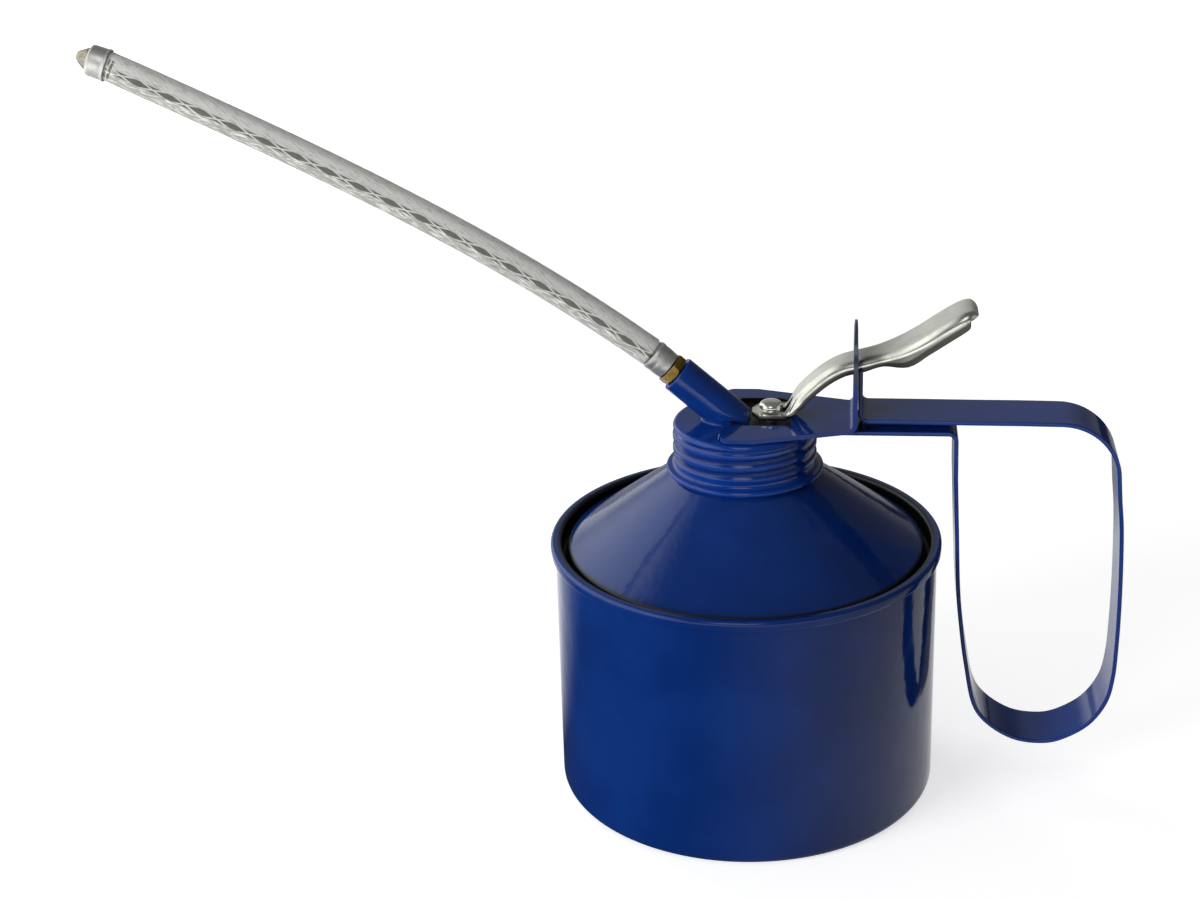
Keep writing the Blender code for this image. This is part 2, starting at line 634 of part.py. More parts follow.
def make_hose():
    """Clear hose, squeezed in both ferrules, with its bore."""
    inside_upper = [hose_tip(0.3), hose_tip(UPPER_FERRULE_LONG - 1.6)]
    flat = hose_route() + inside_upper
    route = [(x, 0.0, z) for x, z in flat]
    radii = [HOSE_GRIPPED, HOSE_GRIPPED] + [HOSE_RADIUS] * (len(flat) - 5) + [3.7, 3.45, 3.35]
    hose = tube("hose", route, radii, CLEAR, 4)
    first = spout_point(HOSE_START - 2.0)
    last = hose_tip(UPPER_FERRULE_LONG + 2.0)
    bore_route = [(first[0], 0.0, first[1]), *route, (last[0], 0.0, last[1])]
    bore = tube("hose_bore", bore_route, [HOSE_BORE] * len(bore_route), None, 2)
    carve(hose, hide_cutter(bore))


def make_upper_ferrule():
    """Crimped ring at the tip, its front edge turned in over the nozzle's flange."""
    bore = UPPER_FERRULE_RADIUS - 0.3
    far = UPPER_FERRULE_LONG
    profile = [(2.85, far), (3.3, far), (3.7, far - 0.25), (3.95, far - 0.8), (4.05, 0.9)]
    profile += [(UPPER_FERRULE_RADIUS, 0.3), (UPPER_FERRULE_RADIUS, 0.0), (bore, 0.0)]
    profile += [(3.8, 0.6), (3.65, far - 0.9), (3.3, far - 0.4), (2.85, far - 0.4)]
    frame = along(hose_tip(0.0), UPPER_SLOPE)
    turned("upper_ferrule", profile, ALUMINIUM, sides=24, frame=frame)


def make_nozzle():
    """Rounded cone with a flange held by the ferrule and a barbed tail in the hose."""
    frame = along(hose_tip(0.0), UPPER_SLOPE)
    base = UPPER_FERRULE_LONG
    flange = base - 0.8
    profile = [(NOZZLE_WAY, NOZZLE_LONG), (1.0, NOZZLE_LONG - 0.1), (1.5, NOZZLE_LONG - 0.8)]
    profile += [(2.35, base + 0.6), (2.55, base + 0.1), (2.55, flange), (3.1, flange), (3.1, flange - 0.5)]
    profile += [(BARB_RADIUS - 0.2, flange - 0.5)]
    for ridge in range(3):
        top = base - 2.0 - 1.6 * ridge
        profile += [(BARB_RADIUS - 0.2, top), (BARB_RADIUS, top), (BARB_RADIUS - 0.3, top - 1.3)]
    profile += [(NOZZLE_WAY, base - 6.5)]
    turned("nozzle", profile, NOZZLE_GREY, sides=SMALL, frame=frame)


# The lever

LEVER_STATIONS = [
    # x, height of the crown, half width, flange depth, how far folded (0 flat, 1 channel)
    (2.0, TONGUE_TOP, 1.7, 0.0, 0.0),
    (4.0, TONGUE_TOP, 5.3, 0.0, 0.0),
    (7.0, TONGUE_TOP, 5.3, 0.0, 0.0),
    (10.3, TONGUE_TOP, 5.3, 0.0, 0.0),
    (11.4, 106.8, 5.3, 1.8, 0.7),
    (12.5, 108.9, 5.3, 2.8, 1.0),
    (14.2, 111.5, 5.2, 3.1, 1.0),
    (19.2, 116.3, 5.0, 3.4, 1.0),
    (24.2, 119.3, 5.0, 3.4, 1.0),
    (29.2, 120.7, 5.2, 3.4, 1.0),
    (34.2, 122.1, 5.6, 3.0, 1.0),
    (39.2, 124.0, 6.6, 5.2, 1.0),
    (44.1, 126.7, 7.2, 4.5, 1.0),
    (49.0, 130.1, 7.3, 4.5, 1.0),
    (53.8, 133.1, 7.0, 4.3, 1.0),
    (56.4, 133.9, 6.4, 3.2, 1.0),
    (57.8, 133.2, 5.4, 2.4, 1.0),
    (58.4, 132.3, 4.4, 1.8, 0.8),
]


def make_lever():
    """A pressed channel: a flat blank of rows and columns folded along its length."""
    knots = LEVER_STATIONS
    stations = knots[:4] + smooth(knots[3:15], 2)[1:] + knots[15:]
    form = bmesh.new()
    rows = []
    for index, (x, z, half, flange, fold) in enumerate(stations):
        before = stations[max(index - 1, 0)]
        after = stations[min(index + 1, len(stations) - 1)]
        slope = math.atan2(after[1] - before[1], after[0] - before[0])
        bend = min(SHOULDER_ROUND, half)
        folded = [(0.0, 0.0), (half - bend, 0.0), (half - 0.3 * bend, 0.3 * bend)]
        folded += [(half, bend), (half, max(flange, bend + 0.2))]
        row = []
        for column in range(-4, 5):
            flat_y = half * abs(column) / 4
            channel_y, channel_drop = folded[abs(column)]
            side = 1.0 if column > 0 else -1.0
            y = side * (flat_y + (channel_y - flat_y) * fold)
            drop = channel_drop * fold
            spot = (x + drop * math.sin(slope), y, z - drop * math.cos(slope))
            row.append(form.verts.new([value * MM for value in spot]))
        rows.append(row)
    for row, following in zip(rows, rows[1:]):
        for column in range(8):
            form.faces.new((row[column], following[column], following[column + 1], row[column + 1]))
    mesh = bpy.data.meshes.new("lever")
    form.to_mesh(mesh)
    form.free()
    lever = place("lever", mesh, CHROME)
    sheet = lever.modifiers.new("sheet", "SOLIDIFY")
    sheet.thickness = LEVER_SHEET * MM
    sheet.offset = -1.0
    sheet.use_even_offset = True
    lever.modifiers.new("flat_facets", "TRIANGULATE")
    slot = [(4.5, -1.0), (5.4, -1.85), (11.4, -1.85), (12.3, -1.0)]
    slot += [(across, -up) for across, up in slot[::-1]]
    carve(lever, outline_prism("tongue_slot", slot, 100.0, 110.0))


# The pump inside the can

def make_pump_rod():
    """Rod with its rounded head, screwed into the piston at its foot."""
    top = ROD_HEAD_BASE + ROD_HEAD_TALL
    head = [(0.0, top), (1.3, top - 0.1), (2.4, top - 0.4), (2.9, top - 0.8)]
    head += [(ROD_HEAD_RADIUS, top - 1.2), (ROD_HEAD_RADIUS, ROD_HEAD_BASE)]
    shaft = [(ROD_RADIUS, ROD_HEAD_BASE), (ROD_RADIUS, PISTON_TOP - 1.8), (0.0, PISTON_TOP - 1.8)]
    turned("pump_rod", head + shaft, CHROME, frame=upright_frame(PUMP_X), solid=True)


def make_rod_gland():
    top = CAP_TOP - CAP_LID - GAP
    bottom = top - GLAND_LONG
    recess = top - GLAND_RECESS
    profile = [(4.0, top), (4.0, bottom + 0.4), (3.6, bottom), (GUIDE_BORE, bottom)]
    profile += [(GUIDE_BORE, recess), (3.2, recess), (3.2, top)]
    turned("rod_gland", profile, BRASS, frame=upright_frame(PUMP_X))
    packing = [(2.9, top), (2.9, recess + GAP), (GUIDE_BORE, recess + GAP), (GUIDE_BORE, top)]
    turned("gland_packing", packing, RUBBER, frame=upright_frame(PUMP_X))


def make_outlet_chamber():
    """Pressed cup soldered under the cap: it leads the oil from the barrel to the spout."""
    top = CAP_TOP - CAP_LID - GAP
    bore = CHAMBER_RADIUS - 0.6
    floor = CHAMBER_FLOOR + 0.7
    profile = [(0.0, floor), (bore - 0.5, floor), (bore, floor + 0.5), (bore, top)]
    profile += [(CHAMBER_RADIUS, top), (CHAMBER_RADIUS, CHAMBER_FLOOR + 0.8)]
    profile += [(CHAMBER_RADIUS - 0.8, CHAMBER_FLOOR), (0.0, CHAMBER_FLOOR)]
    chamber = turned("outlet_chamber", profile, STEEL, sides=32, solid=True)
    carve(chamber, rod_cutter("barrel_mouth", BARREL_BORE, 90.0, 99.0, upright_frame(PUMP_X), sides=24))


def make_pump_barrel():
    profile = [(BARREL_RADIUS, BARREL_TOP), (BARREL_RADIUS, BARREL_BOTTOM)]
    profile += [(BARREL_BORE, BARREL_BOTTOM), (BARREL_BORE, BARREL_TOP)]
    turned("pump_barrel", profile, BRASS, sides=24, frame=upright_frame(PUMP_X))


def make_spring_stop():
    """Disc in the top of the barrel: the rod slides in it and the oil passes its four ports."""
    outer = BARREL_BORE - GAP
    profile = [(outer, 93.5), (outer, SPRING_STOP_UNDERSIDE), (GUIDE_BORE, SPRING_STOP_UNDERSIDE)]
    profile += [(GUIDE_BORE, 93.5)]
    stop = turned("spring_stop", profile, BRASS, frame=upright_frame(PUMP_X))
    for number in range(4):
        angle = math.radians(45.0 + 90.0 * number)
        spot = (PUMP_X * MM + 3.1 * MM * math.cos(angle), 3.1 * MM * math.sin(angle), 0.0)
        carve(stop, rod_cutter(f"stop_port_{number}", 0.9, 88.0, 96.0, Matrix.Translation(spot), sides=10))


def make_return_spring():
    """Compression spring between the piston and the stop, one unbroken round wire."""
    low = PISTON_TOP + GAP + 0.5 * SPRING_WIRE
    high = SPRING_STOP_UNDERSIDE - GAP - 0.5 * SPRING_WIRE
    count = SPRING_TURNS * SPRING_POINTS
    coil = []
    for step in range(count + 1):
        part = step / count
        angle = math.tau * SPRING_TURNS * part
        across = PUMP_X + SPRING_MEAN * math.cos(angle)
        coil.append((across, SPRING_MEAN * math.sin(angle), low + (high - low) * part))
    ahead = Vector(coil[-1]) - Vector(coil[-2])
    tail = Vector(coil[-1]) + Vector((ahead.x, ahead.y, 0.0)).normalized() * SPRING_WIRE
    behind = Vector(coil[0]) - Vector(coil[1])
    nose = Vector(coil[0]) + Vector((behind.x, behind.y, 0.0)).normalized() * SPRING_WIRE
    route = [tuple(nose), *coil, tuple(tail)]
    least = min(
        (Vector(coil[i]) - Vector(coil[j])).length - SPRING_WIRE
        for i in range(len(coil)) for j in range(i + SPRING_POINTS - 2, len(coil)))
    print(f"return spring: least gap between turns {least:.2f} mm")
    tube("return_spring", route, [0.5 * SPRING_WIRE] * len(route), STEEL, 1)


def make_piston():
    """Brass piston with a ball valve: seat, ball chamber and four ports up through its crown."""
    chamber = (PISTON_SEAT, PISTON_TOP - 2.0)
    rod_bore = ROD_RADIUS + GAP
    waist = 3.4
    profile = [(PISTON_RADIUS, PISTON_TOP), (PISTON_RADIUS, 58.8), (waist, 58.8), (waist, 55.9)]
    profile += [(PISTON_RADIUS, 55.9), (PISTON_RADIUS, PISTON_BOTTOM), (SEAT_RADIUS, PISTON_BOTTOM)]
    profile += [(SEAT_RADIUS, chamber[0]), (2.3, chamber[0]), (2.3, chamber[1])]
    profile += [(rod_bore, chamber[1]), (rod_bore, PISTON_TOP)]
    piston = turned("piston", profile, BRASS, frame=upright_frame(PUMP_X))
    for number in range(4):
        angle = math.radians(45.0 + 90.0 * number)
        spot = (PUMP_X * MM + 2.9 * MM * math.cos(angle), 2.9 * MM * math.sin(angle), 0.0)
        port = rod_cutter(f"piston_port_{number}", 0.75, 59.2, 66.0, Matrix.Translation(spot), sides=10)
        carve(piston, port)
    lip = BARREL_BORE - 0.1
    cup = [(lip, 58.5), (lip, 56.2), (waist + GAP, 56.2), (waist + GAP, 57.2), (4.1, 57.4), (4.3, 58.5)]
    turned("piston_cup", cup, LEATHER, sides=24, frame=upright_frame(PUMP_X))


def make_ball(name, seat_height):
    """Valve ball, just clear of the edge of its seat."""
    rise = math.sqrt(BALL_RADIUS ** 2 - SEAT_RADIUS ** 2) + GAP
    mesh = bpy.data.meshes.new(name)
    form = bmesh.new()
    bmesh.ops.create_uvsphere(form, u_segments=16, v_segments=10, radius=BALL_RADIUS * MM)
    form.to_mesh(mesh)
    form.free()
    ball = place(name, mesh, STEEL)
    ball.location = (PUMP_X * MM, 0.0, (seat_height + rise) * MM)


def make_foot_valve():
    """Valve body in the barrel's foot, its ball, and the pin that keeps the ball in."""
    fit = BARREL_BORE - GAP
    rim = BARREL_RADIUS + 0.5
    spigot = TUBE_BORE - GAP
    ball_room = BALL_RADIUS + 0.8
    profile = [(fit, FOOT_TOP), (fit, BARREL_BOTTOM - GAP), (rim, BARREL_BOTTOM - GAP)]
    profile += [(rim, FOOT_RIM_BOTTOM), (spigot, FOOT_RIM_BOTTOM), (spigot, SPIGOT_BOTTOM)]
    profile += [(SEAT_RADIUS, SPIGOT_BOTTOM), (SEAT_RADIUS, FOOT_SEAT), (ball_room, FOOT_SEAT)]
    profile += [(ball_room, FOOT_TOP)]
    body = turned("foot_valve_body", profile, BRASS, frame=upright_frame(PUMP_X))
    height = Matrix.Translation((PUMP_X * MM, 0.0, FOOT_PIN_HEIGHT * MM))
    across = height @ Matrix.Rotation(math.pi / 2, 4, "X")
    carve(body, rod_cutter("pin_hole", FOOT_PIN_RADIUS + GAP, -8.0, 8.0, across, sides=10))
    end = BARREL_BORE - 0.5
    pin = [(0.0, end), (FOOT_PIN_RADIUS, end), (FOOT_PIN_RADIUS, -end), (0.0, -end)]
    turned("foot_ball_pin", pin, STEEL, sides=10, frame=across, solid=True)
    make_ball("foot_ball", FOOT_SEAT)


def make_suction():
    """Suction tube round the valve's spigot, and the strainer cup on its end."""
    profile = [(TUBE_RADIUS, TUBE_TOP), (TUBE_RADIUS, TUBE_BOTTOM)]
    profile += [(TUBE_BORE, TUBE_BOTTOM), (TUBE_BORE, TUBE_TOP)]
    turned("suction_tube", profile, STEEL, frame=upright_frame(PUMP_X))
    bore = TUBE_RADIUS + GAP
    outer = bore + 0.7
    floor = STRAINER_BOTTOM + 0.8
    cup = [(0.0, floor), (bore, floor), (bore, STRAINER_TOP), (outer, STRAINER_TOP)]
    cup += [(outer, STRAINER_BOTTOM + 0.6), (outer - 0.6, STRAINER_BOTTOM), (0.0, STRAINER_BOTTOM)]
    strainer = turned("suction_strainer", cup, BRASS, frame=upright_frame(PUMP_X), solid=True)
    for number in range(2):
        turn = Matrix.Rotation(math.radians(90.0 * number), 4, "Z") @ Matrix.Rotation(math.pi / 2, 4, "X")
        frame = Matrix.Translation((PUMP_X * MM, 0.0, (STRAINER_BOTTOM + 2.1) * MM)) @ turn
        carve(strainer, rod_cutter(f"strainer_hole_{number}", 0.8, -9.0, 9.0, frame, sides=10))


# What moves together

def pivot(name, spot, riders):
    """An empty on a joint's axis, which carries the pieces that move about it."""
    empty = bpy.data.objects.new(name, None)
    empty.location = [value * MM for value in spot]
    PARTS.objects.link(empty)
    bpy.context.view_layer.update()
    for rider in riders:
        piece = PARTS.objects[rider]
        piece.parent = empty
        piece.matrix_parent_inverse = empty.matrix_world.inverted()


def hang_on_axes():
    pivot("pump_axis", (PUMP_X, 0.0, 0.0), ["pump_rod", "piston", "piston_cup", "piston_ball"])
    pivot("lever_axis", (LEVER_PIVOT[0], 0.0, LEVER_PIVOT[1]), ["lever"])
    head = ["screw_cap", "bracket_plate", "handle_strip", "spout_socket", "spout_nipple"]
    head += ["lower_ferrule", "hose", "upper_ferrule", "nozzle", "outlet_chamber", "rod_gland"]
    head += ["gland_packing", "pump_barrel", "spring_stop", "return_spring", "foot_valve_body"]
    head += ["foot_ball_pin", "foot_ball", "suction_tube", "suction_strainer"]
    pivot("cap_axis", (0.0, 0.0, CAP_TOP), [*head, "pump_axis", "lever_axis"])


make_can_body()
make_shoulder_cone()
make_screw_cap()
make_cap_gasket()
make_bracket_plate()
make_handle_strip()
make_spout_socket()
make_spout_nipple()
make_lower_ferrule()
make_hose()
make_upper_ferrule()
make_nozzle()
make_lever()
make_pump_rod()
make_rod_gland()
make_outlet_chamber()
make_pump_barrel()
make_spring_stop()
make_return_spring()
make_piston()
make_ball("piston_ball", PISTON_SEAT)
make_foot_valve()
make_suction()
hang_on_axes()
print("pump oil can:", sum(thing.type == "MESH" for thing in PARTS.objects), "pieces")
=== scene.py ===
# %% [markdown]
# # A pump oil can
#
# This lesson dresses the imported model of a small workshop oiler: a blue enamelled can with a
# screw cap, a bent bracket, a strap handle, a chrome thumb lever and a braided flexible spout.
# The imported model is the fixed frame. Every new piece goes where its plain solid stands and
# takes its place, so that it moves with the same body. Sizes are in millimetres in the text
# below and are turned into metres by MM.

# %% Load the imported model
import math

import bpy
from mathutils import Matrix, Vector


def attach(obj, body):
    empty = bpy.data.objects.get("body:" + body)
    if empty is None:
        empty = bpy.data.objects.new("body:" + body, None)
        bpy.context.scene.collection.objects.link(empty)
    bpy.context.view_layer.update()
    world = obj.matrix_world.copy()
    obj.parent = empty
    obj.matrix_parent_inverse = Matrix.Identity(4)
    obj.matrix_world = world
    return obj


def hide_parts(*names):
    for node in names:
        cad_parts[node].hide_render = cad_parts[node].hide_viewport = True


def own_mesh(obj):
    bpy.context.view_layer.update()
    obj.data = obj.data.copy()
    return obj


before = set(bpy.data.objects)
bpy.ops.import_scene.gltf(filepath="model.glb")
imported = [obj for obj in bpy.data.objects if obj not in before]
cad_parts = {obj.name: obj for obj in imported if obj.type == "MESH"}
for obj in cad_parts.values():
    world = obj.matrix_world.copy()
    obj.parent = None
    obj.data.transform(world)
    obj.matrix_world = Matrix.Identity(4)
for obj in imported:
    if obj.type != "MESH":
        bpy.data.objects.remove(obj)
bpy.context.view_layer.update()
MM = 0.001
scene = bpy.context.scene

# %% [markdown]
# ## The camera
#
# The photograph was taken from a little above, from the side that has the spout on the left and
# the handle on the right. The camera is placed by its own three directions, so that its tilt is
# exact, and its lens is a long one, which keeps the can's walls nearly parallel.

# %% Place the camera
CAMERA_SPOT = (24.52, -539.91, 323.73)
CAMERA_RIGHT = (0.9944, 0.1017, -0.0300)
CAMERA_UP = (-0.0123, 0.3913, 0.9202)
CAMERA_AHEAD = (-0.1053, 0.9146, -0.3903)
camera = bpy.data.objects.new("camera", bpy.data.cameras.new("camera"))
scene.collection.objects.link(camera)
camera.data.lens = 67.98
camera.data.sensor_width = 36.0
camera.data.clip_start = 0.01
camera.data.clip_end = 20.0
camera_turn = Matrix((CAMERA_RIGHT, CAMERA_UP, [-value for value in CAMERA_AHEAD])).transposed()
camera.matrix_world = Matrix.Translation(Vector(CAMERA_SPOT) * MM) @ camera_turn.to_4x4()
scene.camera = camera
print("camera distance in mm:", round(Vector(CAMERA_SPOT).length))

# %% [markdown]
# ## Modelling by hand, written down
#
# Nearly all pieces of an oiler are either turned, like the can, or bent from a strip, like the
# handle. Both start from a line. The line is drawn as it would be by hand: one vertex that is
# extruded again and again. A turned piece is that line spun round, a strip is that line
# extruded sideways and given a thickness.

# %% Small helpers for drawing lines
def choose(piece):
    """Makes a piece the only selected object and the active one."""
    bpy.ops.object.select_all(action="DESELECT")
    piece.select_set(True)
    bpy.context.view_layer.objects.active = piece


def start(name, add, **sizes):
    """Adds a primitive with nothing else selected, names it and opens it in edit mode."""
    bpy.ops.object.select_all(action="DESELECT")
    add(**sizes)
    piece = bpy.context.object
    piece.name = name
    piece.data.name = name
    bpy.ops.object.mode_set(mode="EDIT")
    bpy.ops.mesh.select_mode(type="VERT")
    bpy.ops.mesh.select_all(action="SELECT")
    return piece


def draw_line(name, points):
    """A chain of vertices through points, in millimetres. It leaves the piece in edit mode."""
    piece = start(name, bpy.ops.mesh.primitive_plane_add, size=MM)
    bpy.ops.mesh.merge(type="CENTER")
    bpy.ops.mesh.select_all(action="SELECT")
    spots = [Vector(point) * MM for point in points]
    bpy.ops.transform.translate(value=spots[0])
    for before, after in zip(spots, spots[1:]):
        bpy.ops.mesh.extrude_vertices_move(TRANSFORM_OT_translate={"value": after - before})
    bpy.ops.mesh.select_all(action="SELECT")
    return piece


def close_shell():
    """Merges doubled points and turns the faces outwards, then leaves edit mode."""
    bpy.ops.mesh.select_all(action="SELECT")
    bpy.ops.mesh.remove_doubles(threshold=0.0005 * MM)
    bpy.ops.mesh.normals_make_consistent(inside=False)
    bpy.ops.object.mode_set(mode="OBJECT")


def lathe(name, profile, sides):
    """A turned piece from (radius, height) pairs, spun once round the Z axis."""
    piece = draw_line(name, [(radius, 0.0, height) for radius, height in profile])
    bpy.ops.mesh.spin(steps=sides, angle=math.tau, center=(0, 0, 0), axis=(0, 0, 1))
    close_shell()
    return piece


def ring(name, outline, sides):
    """A turned piece whose outline closes on itself."""
    return lathe(name, outline + outline[:1], sides)


def settle():
    """Leaves edit mode and writes the new piece's place, turn and size into its mesh."""
    bpy.ops.object.mode_set(mode="OBJECT")
    bpy.ops.object.transform_apply(location=True, rotation=True, scale=True)


# %% [markdown]
# ## Curves and modifiers
#
# Sheet metal has no hard corners, so profiles are drawn with arcs and with a smooth curve
# through a few knots. Modifiers are applied at once, because the finished piece has to be a
# plain mesh that stands at the origin.

# %% Small helpers for curves and modifiers
def arc(centre, radius, first, last, steps):
    """Points of an arc between two angles in degrees."""
    points = []
    for step in range(steps + 1):
        angle = math.radians(first + (last - first) * step / steps)
        points.append((centre[0] + radius * math.cos(angle), centre[1] + radius * math.sin(angle)))
    return points


def smooth(knots, pieces):
    """A smooth curve through knots of any number of values."""
    ends = [knots[0], *knots, knots[-1]]
    points = []
    for index in range(1, len(ends) - 2):
        a, b, c, d = ends[index - 1:index + 3]
        for step in range(pieces):
            t = step / pieces
            points.append(tuple(
                0.5 * (2 * q + (r - p) * t + (2 * p - 5 * q + 4 * r - s) * t * t
                       + (3 * q - p - 3 * r + s) * t ** 3)
                for p, q, r, s in zip(a, b, c, d)))
    points.append(tuple(knots[-1]))
    return points


def modify(piece, kind, **settings):
    """Adds a modifier with its settings and applies it."""
    choose(piece)
    modifier = piece.modifiers.new(kind.lower(), kind)
    for name, value in settings.items():
        setattr(modifier, name, value)
    bpy.ops.object.modifier_apply(modifier=modifier.name)


def cut(piece, cutter, operation="DIFFERENCE"):
    """Cuts a piece with another one, which is then thrown away."""
    modify(piece, "BOOLEAN", object=cutter, operation=operation, solver="EXACT")
    bpy.data.objects.remove(cutter)


def round_edges(piece, width, segments=2, angle=35.0):
    """Rounds the sharp edges of a piece."""
    modify(piece, "BEVEL", width=width * MM, segments=segments, limit_method="ANGLE",
           angle_limit=math.radians(angle))


def set_down(piece, foot, slope):
    """Lays a piece that was made upright along a slope that rises to -X, from a foot (x, z)."""
    choose(piece)
    piece.rotation_euler = (0.0, slope - math.pi / 2, 0.0)
    piece.location = (foot[0] * MM, 0.0, foot[1] * MM)
    bpy.ops.object.transform_apply(location=True, rotation=True, scale=True)


def hand_over(piece, finish, body, *nodes, angle=32.0, flat_sheet=False):
    """Gives a finished piece its material and its body, and lets it stand for CAD nodes."""
    choose(piece)
    piece.data.materials.clear()
    piece.data.materials.append(finish)
    bpy.ops.object.shade_smooth_by_angle(angle=math.radians(angle))
    if flat_sheet:
        modify(piece, "WEIGHTED_NORMAL", weight=100, keep_sharp=True)
    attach(piece, body)
    if nodes:
        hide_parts(*nodes)
    piece.data.calc_loop_triangles()
    print(f"{piece.name}: {len(piece.data.loop_triangles)} triangles on {body}")


# %% [markdown]
# ## Shader maths as plain sums
#
# A finish is easier to read as a formula than as a list of nodes. One small class stands for a
# node's output. Adding or multiplying it adds the Math node that does so. Every other node
# comes from one method, which takes the node's type, its settings and its sockets.

# %% A node's output as a number
class Value:
    """One output of a node, on which arithmetic adds Math nodes."""

    def __init__(self, sheet, socket):
        self.sheet = sheet
        self.socket = socket

    def __add__(self, other):
        return self.sheet.maths("ADD", self, other)

    def __sub__(self, other):
        return self.sheet.maths("SUBTRACT", self, other)

    def __rsub__(self, other):
        return self.sheet.maths("SUBTRACT", other, self)

    def __mul__(self, other):
        return self.sheet.maths("MULTIPLY", self, other)

    __radd__ = __add__
    __rmul__ = __mul__

    def size(self):
        """The value without its sign."""
        return self.sheet.maths("ABSOLUTE", self)

    def most(self, other):
        """The larger of two values."""
        return self.sheet.maths("MAXIMUM", self, other)

    def wrap(self, half):
        """The value brought back between minus half and half."""
        return self.sheet.maths("WRAP", self, half, -half)

    def rise(self, low, high):
        """Goes smoothly from 0 at low to 1 at high, and falls where low is above high."""
        settings = {"interpolation_type": "SMOOTHSTEP"}
        sockets = {"Value": self, "From Min": low, "From Max": high}
        return self.sheet.node("ShaderNodeMapRange", settings, sockets)

    def climb(self, low, high):
        """The same for a length, with both ends in millimetres."""
        return self.rise(low * MM, high * MM)


# %% The sheet on which a finish is written
class Sheet:
    """The node tree of one finish."""

    def __init__(self, tree):
        self.tree = tree
        self.tree.nodes.clear()

    def node(self, kind, settings, sockets, output=0):
        """Adds a node: settings first, then the values or links of its sockets."""
        made = self.tree.nodes.new(kind)
        for name, value in settings.items():
            setattr(made, name, value)
        for name, value in sockets.items():
            if isinstance(value, Value):
                self.tree.links.new(value.socket, made.inputs[name])
            else:
                made.inputs[name].default_value = value
        return Value(self, made.outputs[output]) if made.outputs else None

    def maths(self, operation, *values):
        """One Math node on values or numbers."""
        return self.node("ShaderNodeMath", {"operation": operation}, dict(enumerate(values)))

    def place(self, scale=(1.0, 1.0, 1.0), turn=(0.0, 0.0, 0.0), spot=(0.0, 0.0, 0.0)):
        """Object coordinates, moved, turned and stretched by a Mapping node."""
        here = self.node("ShaderNodeTexCoord", {}, {}, "Object")
        moved = {"Vector": here, "Location": spot, "Rotation": turn, "Scale": scale}
        return self.node("ShaderNodeMapping", {"vector_type": "POINT"}, moved)

    def axis(self, vector, name):
        """One coordinate of a vector."""
        return self.node("ShaderNodeSeparateXYZ", {}, {"Vector": vector}, name)

    def noise(self, vector, scale, detail=3.0, roughness=0.55):
        """A cloudy pattern that lies between 0 and 1."""
        sockets = {"Vector": vector, "Scale": scale, "Detail": detail, "Roughness": roughness}
        return self.node("ShaderNodeTexNoise", {}, sockets, "Fac")

    def spots(self, vector, scale):
        """Distance from the nearest of many scattered points."""
        sockets = {"Vector": vector, "Scale": scale}
        return self.node("ShaderNodeTexVoronoi", {"feature": "F1"}, sockets, "Distance")

    def length(self, vector):
        """How long a vector is."""
        return self.node("ShaderNodeVectorMath", {"operation": "LENGTH"}, {0: vector}, "Value")

    def tint(self, factor, first, second):
        """Mixes two colours."""
        sockets = {0: factor, 6: first, 7: second}
        return self.node("ShaderNodeMix", {"data_type": "RGBA", "clamp_factor": True}, sockets, 2)

    def bump(self, height, depth, below=None):
        """A bump whose depth is in millimetres."""
        sockets = {"Height": height, "Distance": depth * MM, "Strength": 1.0}
        if below is not None:
            sockets["Normal"] = below
        return self.node("ShaderNodeBump", {}, sockets, "Normal")

    def surface(self, **sockets):
        """The Principled shader and the output."""
        named = {name.replace("_", " "): value for name, value in sockets.items()}
        shader = self.node("ShaderNodeBsdfPrincipled", {}, named)
        self.node("ShaderNodeOutputMaterial", {}, {"Surface": shader})


# %% Colours and empty materials
def colour(red, green, blue):
    """A colour given by its values on a screen, from 0 to 255."""
    shares = [value / 255 for value in (red, green, blue)]
    return (*[((share + 0.055) / 1.055) ** 2.4 if share > 0.04 else share / 12.92
              for share in shares], 1.0)


def new_finish(name):
    """An empty material and the sheet to write it on."""
    made = bpy.data.materials.new(name)
    made.use_nodes = True
    return made, Sheet(made.node_tree)
